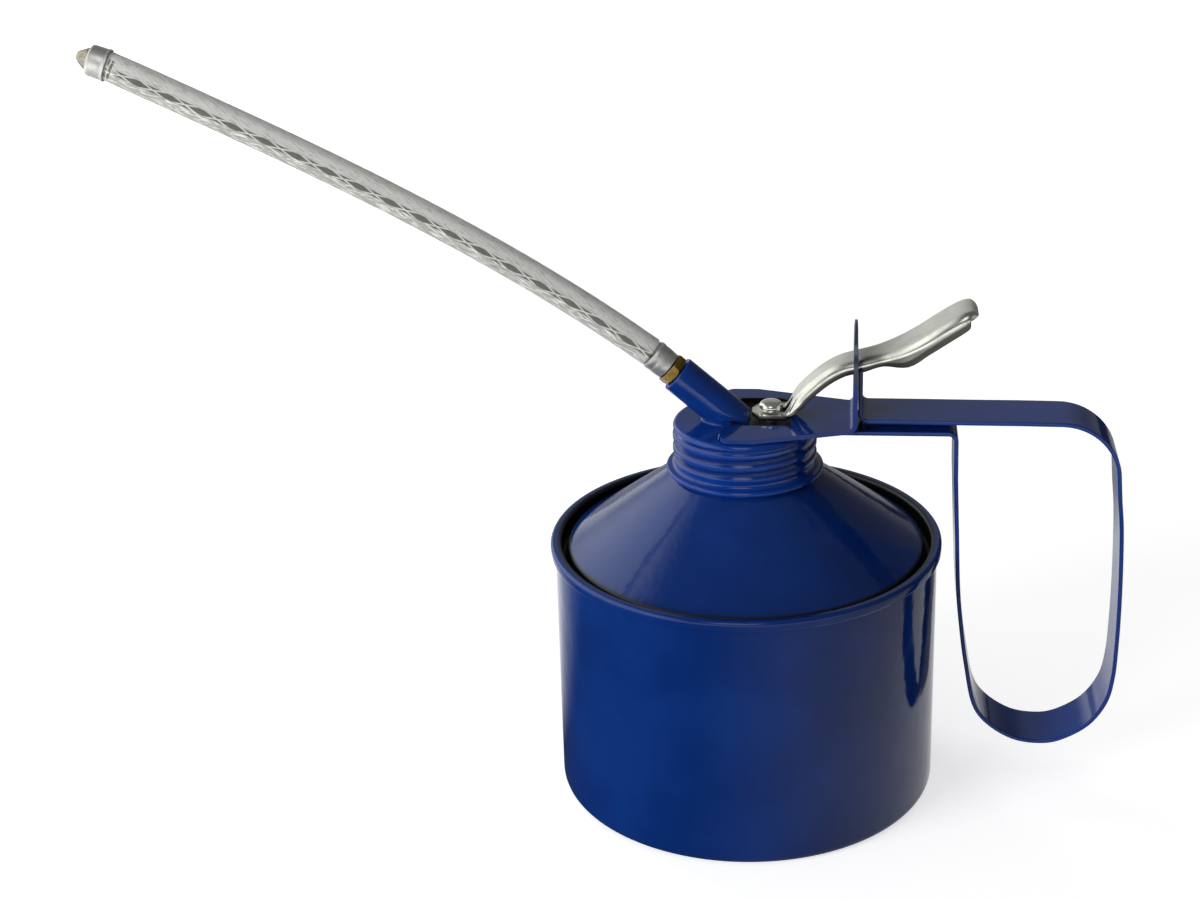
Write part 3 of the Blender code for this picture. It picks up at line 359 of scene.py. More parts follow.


# %% [markdown]
# ## The blue enamel
#
# The can, its cap, the bracket and the handle are dipped in one glossy blue enamel. Such a paint
# is never flat: it shows a fine orange-peel ripple about one and a half millimetres wide, and a
# slower swell where it ran before it dried. Both bend the reflections and leave the colour
# alone. Thumb grease makes a few patches duller. The colour is kept deep, because what looks
# pale on the real can is the room that it mirrors. The cap and the bracket get a lighter copy
# of the same paint, which is painted light. Four places differ: painted shade darkens the lid
# under the lever's tongue and the valleys of the cap's thread, painted shade and dirt darken the
# groove inside the rim, and a painted grey reflection covers the tip of the upright.

# %% Blue enamel
def blue_enamel(name, swell=1.0, tone=0.0, shade_under_tongue=False, groove_dirt_and_shade=False,
                shaded_valleys=False, grey_tip_reflection=False):
    """The one paint. Tone makes it brighter, which is painted light, and swell makes its ripples deeper."""
    made, sheet = new_finish(name)
    here = sheet.place()
    height = sheet.axis(here, "Z")
    cloud = sheet.noise(here, 38.0, 3.0)
    # A higher tone is a lighter copy of the same paint: painted light.
    blue = sheet.tint(cloud.rise(0.35, 0.65), colour(7, 43 + 4 * tone, 110 + 12 * tone),
                      colour(11, 50 + 4 * tone, 121 + 12 * tone))
    grease = sheet.noise(here, 85.0, 4.0).rise(0.55, 0.75)
    specks = sheet.noise(here, 2100.0, 2.0).rise(0.70, 0.76)
    rough = 0.075 + 0.05 * grease + 0.25 * specks
    # Painted shade: the lid and the opening's edges under the lever's tongue are darkened nearly black.
    if shade_under_tongue:
        middle = sheet.place(spot=(-4.4 * MM, -1.65 * MM, 0.0))
        across = sheet.axis(middle, "X").size().climb(7.80, 7.62)
        beside = sheet.axis(middle, "Y").size().climb(9.75, 9.57)
        tongue_shade = across * beside
        blue = sheet.tint(tongue_shade, blue, colour(12, 13, 16))
        rough = rough + 0.3 * tongue_shade
    # Painted reflection: the upright's tip is tinted grey.
    if grey_tip_reflection:
        high = height.climb(113.0, 119.0) * sheet.axis(here, "X").climb(29.3, 28.9)
        blue = sheet.tint(0.85 * high, blue, colour(58, 62, 70))
    flat = sheet.node("ShaderNodeVectorMath", {"operation": "MULTIPLY"}, {0: here, 1: (1.0, 1.0, 0.0)})
    reach = sheet.length(flat)
    # Painted shade: the valleys of the cap's thread are darkened.
    if shaded_valleys:
        valley_shade = reach.climb(18.42, 18.12) * height.climb(101.6, 101.2)
        blue = sheet.tint(0.45 * valley_shade, blue, colour(4, 10, 48))
    # Painted shade and dirt: the trough and the inner wall of the rim are darkened.
    if groove_dirt_and_shade:
        low = height.climb(70.1, 69.95) * height.climb(60.0, 62.0)
        groove_dirt_shade = reach.climb(45.6, 46.2) * reach.climb(49.6, 49.3) * low
        blue = sheet.tint(groove_dirt_shade, blue, colour(6, 7, 14))
        rough = rough + 0.35 * groove_dirt_shade
    peel = sheet.noise(here, 620.0, 2.0, 0.5)
    slow = sheet.noise(here, 95.0, 2.0, 0.5)
    wave = sheet.bump(slow, 0.13 * swell)
    ripple = sheet.bump(peel, 0.034 * swell, below=wave)
    sheet.surface(Base_Color=blue, Roughness=rough, Normal=ripple, IOR=1.46)
    return made


can_enamel = blue_enamel("can_enamel", groove_dirt_and_shade=True)
# The bracket, plate and cap get lighter tones of the can's paint: painted light.
bracket_enamel = blue_enamel("bracket_enamel", swell=0.7, tone=1.0)
plate_enamel = blue_enamel("plate_enamel", swell=0.7, tone=1.0, shade_under_tongue=True, grey_tip_reflection=True)
cap_enamel = blue_enamel("cap_enamel", swell=0.5, tone=1.8, shade_under_tongue=True, shaded_valleys=True)
print("enamel finishes:", 4)

# %% [markdown]
# ## Bright metals
#
# The lever is chromed but handled: its shine is broken by a fine mottling and short scratches,
# it is satin along its middle, where the thumb rubs it, and dull at its turned-down edges, where
# shade is painted on. The ferrules are aluminium, crimped, so they carry rings of tool marks. The
# nipple's brass has gone olive. The metals differ in colour, roughness and marks, so that one
# function writes them all.

# %% Metals
def metal(name, bright, dull, shine, mottle=400.0, marks=0.3, lines=(0.0, 0.0, 0.0), depth=0.01,
          bare=1.0, satin=0.0, folded=False):
    """A metal with a mottled colour, worn roughness and fine scratches.

    A folded sheet is satin along its middle, and its turned-down edges are dull, with painted shade.
    """
    made, sheet = new_finish(name)
    here = sheet.place()
    cloud = sheet.noise(here, mottle, 4.0)
    stain = sheet.noise(here, mottle * 0.21, 3.0)
    mixed = 0.6 * cloud.rise(0.38, 0.66) + 0.4 * stain.rise(0.4, 0.65)
    pits = sheet.spots(here, mottle * 3.5).rise(0.17, 0.08) * cloud.rise(0.5, 0.62)
    tone = sheet.tint(mixed, bright, dull)
    tone = sheet.tint(pits * marks, tone, colour(52, 48, 42))
    scratch = sheet.noise(sheet.place(scale=(260.0, 5200.0, 2600.0), turn=lines), 1.0, 3.0)
    rough = shine + 0.14 * mixed + 0.12 * scratch + 0.2 * pits
    if folded:
        across = sheet.node("ShaderNodeUVMap", {"uv_map": "across_sheet"}, {})
        edge = 2.0 * (sheet.axis(across, "X") - 0.5).size()
        middle = edge.rise(0.62, 0.40)
        # Painted shade: the turned-down edges, which face down, are tinted dark.
        low_edge_shade = edge.rise(0.80, 0.87)
        rough = rough + 0.2 * middle + 0.18 * low_edge_shade
        bare = bare - satin * middle
        tone = sheet.tint(low_edge_shade, tone, colour(112, 110, 104))
    normal = sheet.bump(scratch + 0.8 * cloud - pits * marks, depth)
    sheet.surface(Base_Color=tone, Metallic=bare, Roughness=rough, Normal=normal)
    return made


chrome = metal("lever_chrome", colour(232, 232, 226), colour(212, 212, 206), 0.08, 240.0, 0.15,
               depth=0.001, satin=0.45, folded=True)
rod_chrome = metal("rod_chrome", colour(236, 236, 230), colour(214, 214, 208), 0.06, 240.0, 0.15,
                   depth=0.0006, bare=0.9)
brass = metal("olive_brass", colour(176, 146, 78), colour(122, 98, 50), 0.26, 900.0, 0.8)
aluminium = metal("crimped_aluminium", colour(226, 226, 224), colour(194, 195, 193), 0.34, 520.0,
                  0.4, (0.0, math.radians(-41.0), 0.0), 0.008, bare=0.84)
tip_steel = metal("nozzle_steel", colour(172, 166, 152), colour(124, 118, 106), 0.24, 1100.0, 0.8)
plain_steel = metal("plain_steel", colour(190, 192, 194), colour(140, 142, 146), 0.28, 300.0)
pump_brass = metal("pump_brass", colour(206, 170, 92), colour(160, 126, 62), 0.24, 260.0)
print("metal finishes:", 7)

# %% [markdown]
# ## Rubber and leather
#
# The seals can't be seen from outside. They still get their own finish: cord-like grain for the
# rubber, pores and creases for the leather cup.

# %% Seals
def seal_finish(name, light, dark, grain, depth):
    """A dull soft material with pores."""
    made, sheet = new_finish(name)
    here = sheet.place()
    pores = sheet.spots(here, grain).rise(0.1, 0.5)
    cloud = sheet.noise(here, grain * 0.2, 4.0)
    tone = sheet.tint(0.5 * pores + 0.5 * cloud, dark, light)
    sheet.surface(Base_Color=tone, Roughness=0.62 + 0.2 * cloud,
                  Normal=sheet.bump(pores + 0.5 * cloud, depth))
    return made


rubber = seal_finish("seal_rubber", colour(58, 58, 58), colour(26, 26, 27), 1500.0, 0.03)
leather = seal_finish("cup_leather", colour(134, 92, 56), colour(84, 54, 32), 1900.0, 0.05)

# %% [markdown]
# ## The hose
#
# A pale flexible tube with a braid of white yarn inside its wall. Its route is one smooth curve,
# a little steeper near the can, where it carries its own weight. The tube is made of rings along
# that route, with the distance along it and the angle round it kept as a UV map, because the
# braid follows the hose and not the room.

# %% Route of the hose
SPOUT_SLOPE = math.radians(41.0)
SPOUT_ROOT = (-2.83, 102.5)
HOSE_START = 22.1
FERRULE_END = 27.3
HOSE_FREE_LONG = 154.0
HOSE_STEPS = 44
HOSE_GRIPPED = 3.4  # length of the hose inside the upper ferrule
HOSE_TIP_SLOPE = 25.3
HOSE_DROOP = 11.8
UPPER_SLOPE = math.radians(20.0)
HOSE_RADIUS = 3.8
HOSE_BORE = 1.7
HOSE_ROUND = 23.88  # distance once round the skin
UV_OF_ONE_MM = 0.01


def spout_point(distance):
    """(x, z) at a distance along the spout's axis from the cap's lid."""
    return (SPOUT_ROOT[0] - distance * math.cos(SPOUT_SLOPE),
            SPOUT_ROOT[1] + distance * math.sin(SPOUT_SLOPE))


def free_hose():
    """Centre line from the lower ferrule's end to the upper ferrule."""
    here = spout_point(FERRULE_END)
    route = []
    for step in range(HOSE_STEPS):
        share = (step + 0.5) / HOSE_STEPS
        slope = math.radians(HOSE_TIP_SLOPE + HOSE_DROOP * (1.0 - share) ** 2)
        length = HOSE_FREE_LONG / HOSE_STEPS
        here = (here[0] - length * math.cos(slope), here[1] + length * math.sin(slope))
        route.append(here)
    return route


hose_end = free_hose()[-1]


def hose_tip(distance):
    """(x, z) on the nozzle's axis, past the end of the free hose."""
    return (hose_end[0] - distance * math.cos(UPPER_SLOPE),
            hose_end[1] + distance * math.sin(UPPER_SLOPE))


hose_line = [spout_point(HOSE_START), spout_point(24.5), spout_point(FERRULE_END)]
hose_line += [spout_point(FERRULE_END + 0.6)] + free_hose() + [hose_tip(0.3), hose_tip(HOSE_GRIPPED)]
hose_sizes = [3.1, 3.1, 3.1] + [HOSE_RADIUS] * (HOSE_STEPS - 1) + [3.75, 3.7, 3.45, 3.35]
print("points of the hose:", len(hose_line), len(hose_sizes))

# %% Tube of the hose
def make_hose(sides=48):
    """Rings along the route, out on the skin and back in the bore."""
    walked = [0.0]
    for before, after in zip(hose_line, hose_line[1:]):
        walked.append(walked[-1] + math.dist(before, after))
    rings = list(zip(hose_line, hose_sizes, walked, range(len(hose_line))))
    rings += [(spot, HOSE_BORE, far, at) for spot, _, far, at in rings[::-1]]
    points = []
    for (x, z), radius, _, at in rings:
        before = hose_line[max(at - 1, 0)]
        after = hose_line[min(at + 1, len(hose_line) - 1)]
        lean = math.atan2(after[1] - before[1], before[0] - after[0])
        for side in range(sides):
            angle = math.tau * side / sides
            out = radius * math.sin(angle)
            points.append(((x + out * math.sin(lean)) * MM, -radius * math.cos(angle) * MM,
                           (z + out * math.cos(lean)) * MM))
    faces = []
    marks = []
    for row in range(len(rings)):
        after = (row + 1) % len(rings)
        for side in range(sides):
            beside = (side + 1) % sides
            faces.append((row * sides + side, row * sides + beside,
                          after * sides + beside, after * sides + side))
            around = (side / sides, (side + 1) / sides)
            far = (rings[row][2], rings[after][2])
            marks += [(around[0], far[0]), (around[1], far[0])]
            marks += [(around[1], far[1]), (around[0], far[1])]
    mesh = bpy.data.meshes.new("hose_tube")
    mesh.from_pydata(points, [], faces)
    layer = mesh.uv_layers.new(name="along_hose")
    for corner, (around, far) in zip(layer.data, marks):
        corner.uv = (around, far * UV_OF_ONE_MM)
    piece = bpy.data.objects.new("hose_tube", mesh)
    scene.collection.objects.link(piece)
    choose(piece)
    bpy.ops.object.mode_set(mode="EDIT")
    bpy.ops.mesh.select_all(action="SELECT")
    bpy.ops.mesh.normals_make_consistent(inside=False)
    bpy.ops.object.mode_set(mode="OBJECT")
    return piece, walked[-1]


hose_tube, hose_long = make_hose()
print("length of the hose in mm:", round(hose_long, 1))

# %% [markdown]
# ### Its finish
#
# Three dark streaks run along the hose, where the yarns of the braid leave the wall open. Their
# darkness is painted shade, the unlit bore seen through the wall. Thin white yarns cross each
# streak slantwise, from both sides. The rest is a milky grey with short white flecks, and painted
# light makes it palest along the top. Light sinks a little way into it. Near the upper ferrule the
# nozzle's barb has stained the wall brown.

# %% Braided wall
def hose_finish():
    """Milky wall with a painted light top, streaks of painted shade crossed by white yarns, and a rusty ring
    at the free end.
    """
    made, sheet = new_finish("braided_hose")
    follow = sheet.node("ShaderNodeUVMap", {"uv_map": "along_hose"}, {})
    around = sheet.axis(follow, "X")
    far = (1.0 / UV_OF_ONE_MM) * sheet.axis(follow, "Y")
    beside = HOSE_ROUND * (around - 0.014).wrap(1 / 6)
    free_end = hose_long - HOSE_GRIPPED
    # Painted shade: three dark streaks stand for the unlit bore seen through the wall.
    bore_shade = beside.size().rise(0.82, 0.60) * far.rise(free_end - 2.4, free_end - 3.4)
    lean = 0.256 * far
    yarn_out = (beside + lean).wrap(1.1).size().rise(0.24, 0.10)
    yarn_back = (beside - lean).wrap(1.1).size().rise(0.24, 0.10)
    yarns = yarn_out.most(yarn_back)
    here = sheet.place()
    strands = []
    for tilt in (1.0, -1.0):
        spread = {"X": 50.0 * around + tilt * 0.50 * far, "Y": 0.20 * far, "Z": 3.0 * tilt}
        slanted = sheet.node("ShaderNodeCombineXYZ", {}, spread)
        strands.append(sheet.noise(slanted, 1.0, 1.0).rise(0.56, 0.62))
    below = 0.35 + 0.65 * beside.rise(0.5, -0.9)
    flecks = strands[0].most(strands[1]) * below
    cloud = sheet.noise(here, 520.0, 3.0)
    milk = sheet.tint(cloud.rise(0.3, 0.7), colour(184, 184, 178), colour(196, 196, 190))
    # Painted light: the top of the hose is lightened.
    painted_top_light = (around - 0.25).wrap(0.5).size().rise(0.27, 0.08)
    milk = sheet.tint(0.92 * painted_top_light, milk, colour(250, 250, 246))
    wall = sheet.tint(0.85 * flecks, milk, colour(250, 250, 248))
    grey_strands = sheet.noise(slanted, 1.7, 1.0).rise(0.55, 0.61)
    wall = sheet.tint(0.42 * grey_strands * (1.0 - flecks), wall, colour(146, 146, 139))
    dark = sheet.tint(cloud, colour(84, 88, 82), colour(120, 122, 114))
    wall = sheet.tint(bore_shade * (1.0 - yarns), wall, dark)
    wall = sheet.tint(0.55 * bore_shade * yarns, wall, colour(236, 236, 230))
    first_bar = (far - (free_end - 1.5)).size().rise(0.42, 0.25)
    second_bar = (far - (free_end - 0.6)).size().rise(0.32, 0.18)
    rust = first_bar.most(second_bar) * sheet.noise(here, 1100.0, 2.0).rise(0.42, 0.50)
    wall = sheet.tint(0.8 * rust * beside.size().rise(3.1, 2.3), wall, colour(74, 56, 44))
    near_foot = far.rise(9.5, 6.0) * (beside - lean).wrap(0.7).size().rise(0.16, 0.05)
    wall = sheet.tint(0.4 * near_foot, wall, colour(92, 94, 90))
    height = 0.5 * flecks + yarns * 0.6 + 0.5 * cloud
    sheet.surface(Base_Color=wall, Roughness=0.27 + 0.16 * cloud, Normal=sheet.bump(height, 0.02),
                  Subsurface_Weight=0.55, Subsurface_Radius=(1.0, 1.0, 1.0), Subsurface_Scale=0.003)
    return made


hand_over(hose_tube, hose_finish(), "head", "hose", angle=40.0)

# %% [markdown]
# ## The can
#
# The drum is drawn from one sheet, so it is one turned line: up the outside, over the edge, and
# back down inside. The seam, the trough, the cone and the neck are one more sheet, hooked over
# the drum's edge. The neck's rolled thread is added to the turned wall by moving its points in
# and out along a climbing wave, as the rolling tool does.

# %% Drum
CAN_OUTSIDE = 50.0
CAN_INSIDE = 49.5
WALL_TOP = 69.1
drum = [(0.0, 0.0), (20.0, 0.0), (40.0, 0.0)]
drum += arc((47.5, 2.5), 2.5, -90.0, 0.0, 8)
drum += [(CAN_OUTSIDE, height) for height in (8.0, 36.0, 66.5, WALL_TOP)]
drum += [(CAN_INSIDE, height) for height in (WALL_TOP, 36.0, 2.7)]
drum += arc((47.5, 2.7), 2.0, -15.0, -90.0, 5) + [(25.0, 0.7), (0.0, 0.7)]
can_body = lathe("drum", drum, 192)
hand_over(can_body, can_enamel, "can", "can_body")

# %% Rolled thread
THREAD_PITCH = 3.3
THREAD_DEPTH = 0.5
THREAD_START = 0.375  # share of a turn
THREAD_FADE = 1.5     # height in which the thread dies out at either end
NECK_WALL = (17.45, 91.2, 98.9)  # mean radius, lower end and upper end
CAP_SKIN = (18.3, 91.4, 101.1)
CAP_BORE = (17.8, 91.1, 100.8)


def roll_thread(piece, *walls):
    """Moves points of a turned wall in and out along a climbing wave.

    Each wall comes with the reach to either side of it and the sharpness of its wave.
    """
    for spot in piece.data.vertices:
        radius = math.hypot(spot.co.x, spot.co.y) / MM
        height = spot.co.z / MM
        for (mean, low, high), reach, sharpness in walls:
            if abs(radius - mean) > reach or not low < height < high:
                continue
            turn = math.atan2(spot.co.y, spot.co.x) / math.tau
            wave = math.cos(math.tau * (height / THREAD_PITCH - turn - THREAD_START)) * sharpness
            fade = min(1.0, (height - low) / THREAD_FADE, (high - height) / THREAD_FADE)
            moved = mean + 0.5 * THREAD_DEPTH * max(-1.0, min(1.0, wave)) * fade
            spot.co.x *= moved / radius
            spot.co.y *= moved / radius
            break
    piece.data.update()


def wall_points(radius, low, high, pieces):
    """A straight upright wall in many short steps, ready for a thread."""
    return [(radius, low + (high - low) * step / pieces) for step in range(pieces + 1)]


# %% Seam, trough, cone and neck
seam = arc((50.55, 67.7), 0.6, -60.0, 0.0, 4) + arc((50.15, 69.0), 1.0, 0.0, 90.0, 8)
seam += arc((49.3, 69.0), 1.0, 90.0, 180.0, 8)
trough = [(48.3, 68.2), (48.45, 67.5), (48.8, 66.9), (48.8, 65.6)]
trough += arc((47.75, 65.4), 0.95, -5.0, -150.0, 8)
trough += [(46.7, 65.3), (46.6, 66.5), (46.6, 67.6)] + arc((45.6, 67.9), 1.0, 10.0, 45.0, 4)
cone = [(46.0, 68.8), (38.0, 74.686), (30.0, 80.57), (22.0, 86.46), (20.2, 87.79)]
cone += smooth([(19.5, 88.3), (18.5, 89.2), (17.9, 90.2), (17.6, 91.0)], 3)
neck = wall_points(*NECK_WALL, 44) + [(17.2, 99.15), (16.9, 99.3), (16.2, 99.3), (15.9, 99.0)]
under = [(15.9, 91.0), (19.14, 87.82), (45.64, 68.32), (45.95, 67.5), (46.05, 65.0), (46.6, 64.2)]
under += [(47.7, 63.9), (48.7, 64.2), (49.2, 65.1), (49.2, 69.4), (50.3, 69.4), (50.3, 67.1)]
cone_line = seam + trough + cone + neck + under
shoulder = ring("shoulder", cone_line, 192)
roll_thread(shoulder, (NECK_WALL, 0.15, 1.2))
hand_over(shoulder, can_enamel, "can", "shoulder_cone")

# %% [markdown]
# ## The screw cap
#
# A shallow drawn cup with the same rolled thread, seen from outside as a few broad bands that
# climb round it, and a lower edge that is curled outwards for the fingers. Two holes are cut in
# its lid: one for the pump rod, and one where the oil goes up into the spout.

# %% Cap
LID_TOP = 102.45
LID_UNDERSIDE = 101.85
skirt = [(0.0, LID_TOP), (9.0, LID_TOP), (17.0, LID_TOP)] + arc((17.2, 101.2), 1.25, 80.0, 5.0, 6)
skirt += wall_points(*CAP_SKIN, 62)[::-1]
bead = [(18.45, 91.1), (18.9, 90.75), (19.3, 90.65)] + arc((19.55, 89.85), 0.76, 80.0, -100.0, 10)
bead += [(19.2, 89.5), (19.1, 90.0), (18.6, 90.3), (18.1, 90.6)]
inside = wall_points(*CAP_BORE, 62) + [(17.85, 101.2), (17.4, 101.75)]
inside += [(17.0, LID_UNDERSIDE), (0.0, LID_UNDERSIDE)]
screw_cap = lathe("threaded_cap", skirt + bead + inside, 160)
roll_thread(screw_cap, (CAP_SKIN, 0.12, 1.6), (CAP_BORE, 0.12, 1.2))

# %% Holes in the lid
def bar(name, radius, low, high, sides=48):
    """A round bar along Z, used as a cutter."""
    size = {"radius": radius * MM, "depth": (high - low) * MM, "vertices": sides}
    middle = (0, 0, 0.5 * (low + high) * MM)
    piece = start(name, bpy.ops.mesh.primitive_cylinder_add, location=middle, **size)
    settle()
    return piece


def shift(piece, x):
    """Moves a finished piece along X."""
    choose(piece)
    piece.location.x = x * MM
    bpy.ops.object.transform_apply(location=True, rotation=False, scale=False)


PUMP_X = 6.8
rod_hole = bar("rod_hole", 2.0, 99.0, 105.0)
shift(rod_hole, PUMP_X)
cut(screw_cap, rod_hole)
passage = bar("passage", 2.9, -9.0, 6.0)
set_down(passage, SPOUT_ROOT, SPOUT_SLOPE)
cut(screw_cap, passage)
hand_over(screw_cap, cap_enamel, "head", "screw_cap")

# %% Gasket and the two soft seals
gasket_line = arc((16.8, 101.35), 0.2, 90.0, 0.0, 3) + arc((16.8, 99.8), 0.2, 0.0, -90.0, 3)
gasket_line += arc((13.4, 99.8), 0.2, -90.0, -180.0, 3) + arc((13.4, 101.35), 0.2, 180.0, 90.0, 3)
gasket = ring("neck_gasket", gasket_line, 96)
hand_over(gasket, rubber, "gasket", "cap_gasket")
packing_line = [(2.9, 101.4), (2.9, 99.8), (2.75, 99.65), (1.75, 99.65), (1.6, 99.8), (1.6, 101.4)]
packing_line += [(1.75, 101.55), (2.75, 101.55)]
packing = ring("rod_packing", packing_line, 48)
shift(packing, PUMP_X)
hand_over(packing, rubber, "head", "gland_packing")
cup_line = [(4.7, 58.5), (4.7, 56.5), (4.4, 56.2), (3.7, 56.2), (3.7, 57.2), (4.05, 57.35), (4.3, 57.8)]
cup_line += [(4.4, 58.5)]
cup = ring("leather_cup", cup_line, 64)
shift(cup, PUMP_X)
hand_over(cup, leather, "rod", "piston_cup")

# %% [markdown]
# ## The bracket plate
#
# One pressed plate lies on the cap and turns up into the upright. It is made as its section
# drawn sideways across the whole width, then trimmed to its plan from above and to its round
# tip from the end, as a press would blank it. The lever's slot, the opening under the lever's
# tongue and the notch for the spout are punched out. Last its edges are rounded a little, because
# enamel draws back from a sharp edge, and the upright is thinned towards its tip.

# %% Helpers for cutting, and the plate's sizes
def slab(name, outline, low, high, axis):
    """A flat outline given a length along X, Y or Z."""
    lay = {"X": lambda a, b, c: (c, a, b),
           "Y": lambda a, b, c: (a, c, b),
           "Z": lambda a, b, c: (a, b, c)}[axis]
    piece = draw_line(name, [lay(a, b, low) for a, b in outline])
    bpy.ops.mesh.edge_face_add()
    reach = Vector(lay(0.0, 0.0, (high - low) * MM))
    bpy.ops.mesh.extrude_region_move(TRANSFORM_OT_translate={"value": reach})
    close_shell()
    return piece


def box(name, x, y, z):
    """A straight block between two values of x, of y and of z."""
    return slab(name, [(x[0], y[0]), (x[1], y[0]), (x[1], y[1]), (x[0], y[1])], *z, "Z")


PLATE_BOTTOM = 102.75
PLATE_TOP = 103.95
UPRIGHT_FRONT = 27.65
UPRIGHT_MIDDLE = 28.25
UPRIGHT_BACK = 28.85
BEND_CENTRE = (26.35, 105.25)
SLOT_HALF_WIDE = 5.65
SLOT_SILL = 116.6
SLOT_HEAD = 122.0

# %% Cutting the plate
section = [(-6.5, PLATE_BOTTOM)] + arc(BEND_CENTRE, 2.5, -90.0, 0.0, 14)
section += [(UPRIGHT_BACK, 130.3), (UPRIGHT_FRONT, 130.3)]
section += arc(BEND_CENTRE, 1.3, 0.0, -90.0, 14) + [(-6.5, PLATE_TOP)]
plate = slab("pressed_bracket", section, -18.5, 18.5, "Y")
plan = arc((-3.0, 15.0), 2.5, 90.0, 180.0, 8)
plan += [(x, -y) for x, y in plan[::-1]]
plan += [(3.0, -17.5), (27.6, -10.1), (31.0, -10.1), (31.0, 10.1), (27.6, 10.1), (3.0, 17.5)]
cut(plate, slab("plan", plan, 90.0, 140.0, "Z"), "INTERSECT")
front = [(-18.5, 100.0), (18.5, 100.0), (18.5, 108.0), (10.0, 108.0)]
front += arc((0.0, 119.3), 10.0, 0.0, 180.0, 32) + [(-10.0, 108.0), (-18.5, 108.0)]
cut(plate, slab("front", front, -10.0, 35.0, "X"), "INTERSECT")
slot = [(-SLOT_HALF_WIDE, SLOT_SILL), (SLOT_HALF_WIDE, SLOT_SILL)]
slot += [(SLOT_HALF_WIDE, SLOT_HEAD), (-SLOT_HALF_WIDE, SLOT_HEAD)]
cut(plate, slab("slot", slot, 24.0, 32.0, "X"))
opening = arc((7.8, -3.7), 4.0, -90.0, 0.0, 8) + arc((7.8, 7.0), 4.0, 0.0, 90.0, 8)
opening += arc((1.0, 7.0), 4.0, 90.0, 180.0, 8) + arc((1.0, -3.7), 4.0, 180.0, 270.0, 8)
cut(plate, slab("opening", opening, 99.0, 108.0, "Z"))
notch = bar("notch", 5.2, -14.0, 14.0, 64)
set_down(notch, SPOUT_ROOT, SPOUT_SLOPE)
cut(notch, box("notch_end", (1.6, 40.0), (-20.0, 20.0), (80.0, 130.0)))
cut(plate, notch)
round_edges(plate, 0.18)

# %% Thinning the upright towards its tip
THIN_FROM = 121.0
THIN_LONG = 8.3
for spot in plate.data.vertices:
    above = (spot.co.z / MM - THIN_FROM) / THIN_LONG
    if above > 0.0:
        spot.co.x = UPRIGHT_MIDDLE * MM + (spot.co.x - UPRIGHT_MIDDLE * MM) * (1.0 - 0.5 * above ** 2)
hand_over(plate, plate_enamel, "head", "bracket_plate", angle=28.0, flat_sheet=True)

# %% [markdown]
# ## The handle
#
# One long steel strip makes the whole handle. It is welded upright behind the lever, runs level,
# turns down into the round loop and comes back under the plate. So it is drawn as one line, as
# the bending jig sees it, pulled out to the strip's width and given its thickness. Its long edges
# are rounded, because a rolled strip has no sharp ones.

# %% Strip
STRIP_WIDE = 15.5
STRIP_SHEET = 1.1
route = [(29.5, 118.15), (29.5, 114.5), (29.5, 111.0)] + arc((31.65, 107.25), 2.15, 180.0, 270.0, 8)
route += [(45.0, 105.03), (58.0, 104.95), (70.0, 104.93)] + arc((79.6, 89.7), 15.1, 88.0, 8.0, 22)
loop = [(95.2, 84.0), (96.0, 76.0), (96.5, 64.0), (96.7, 52.0), (96.6, 42.0), (96.2, 33.5)]
loop += [(94.7, 26.2), (90.4, 19.5), (83.7, 15.1), (78.0, 13.9), (71.0, 15.0), (64.2, 19.4)]
loop += [(60.4, 25.2), (58.2, 36.0), (56.8, 45.3), (55.4, 58.4), (54.55, 75.6), (53.9, 89.5)]
route += smooth(loop, 5) + arc((51.7, 99.9), 2.0, 0.0, 90.0, 8) + [(36.0, 101.9), (19.2, 101.9)]
strip = draw_line("handle_band", [(x, -0.5 * STRIP_WIDE, z) for x, z in route])
bpy.ops.mesh.extrude_region_move(TRANSFORM_OT_translate={"value": (0.0, STRIP_WIDE * MM, 0.0)})
close_shell()
modify(strip, "SOLIDIFY", thickness=STRIP_SHEET * MM, offset=0.0, use_even_offset=True)
cut(strip, box("top_notch", (27.0, 33.0), (-SLOT_HALF_WIDE, SLOT_HALF_WIDE), (SLOT_SILL, 121.0)))
round_edges(strip, 0.32, 3, 50.0)
hand_over(strip, bracket_enamel, "head", "handle_strip", angle=40.0, flat_sheet=True)

# %% [markdown]
# ## The spout's metal parts
#
# The socket is a short tube, cut level where it sits on the lid and upright where it would meet
# the lever. In it stands a brass nipple whose hexagon is turned with a chamfer before its six
# flats are cut. Two crimped ferrules hold the hose, and the nozzle closes it.

# %% Socket
socket_line = [(2.9, -14.0), (4.9, -14.0), (4.9, 4.0), (4.9, 11.5), (4.9, 18.7), (4.7, 18.95)]
socket_line += [(4.45, 19.0), (3.2, 19.0), (2.9, 18.8), (2.9, 4.0)]
socket = ring("bent_socket", socket_line, 96)
set_down(socket, SPOUT_ROOT, SPOUT_SLOPE)
cut(socket, box("below", (-60.0, 60.0), (-20.0, 20.0), (60.0, PLATE_BOTTOM)))
cut(socket, box("beyond", (1.3, 60.0), (-20.0, 20.0), (60.0, 140.0)))
round_edges(socket, 0.15)
hand_over(socket, bracket_enamel, "head", "spout_socket")

# %% [markdown]
# ### Braze and weld
#
# The socket is brazed to the lid, and the plate's corner is tacked to it. Both leave a small
# raised bead under the paint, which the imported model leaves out. A ring stretched along the
# socket's slope and a lumpy ball, each cut off just above the lid, are enough, because only
# their upper sides show.

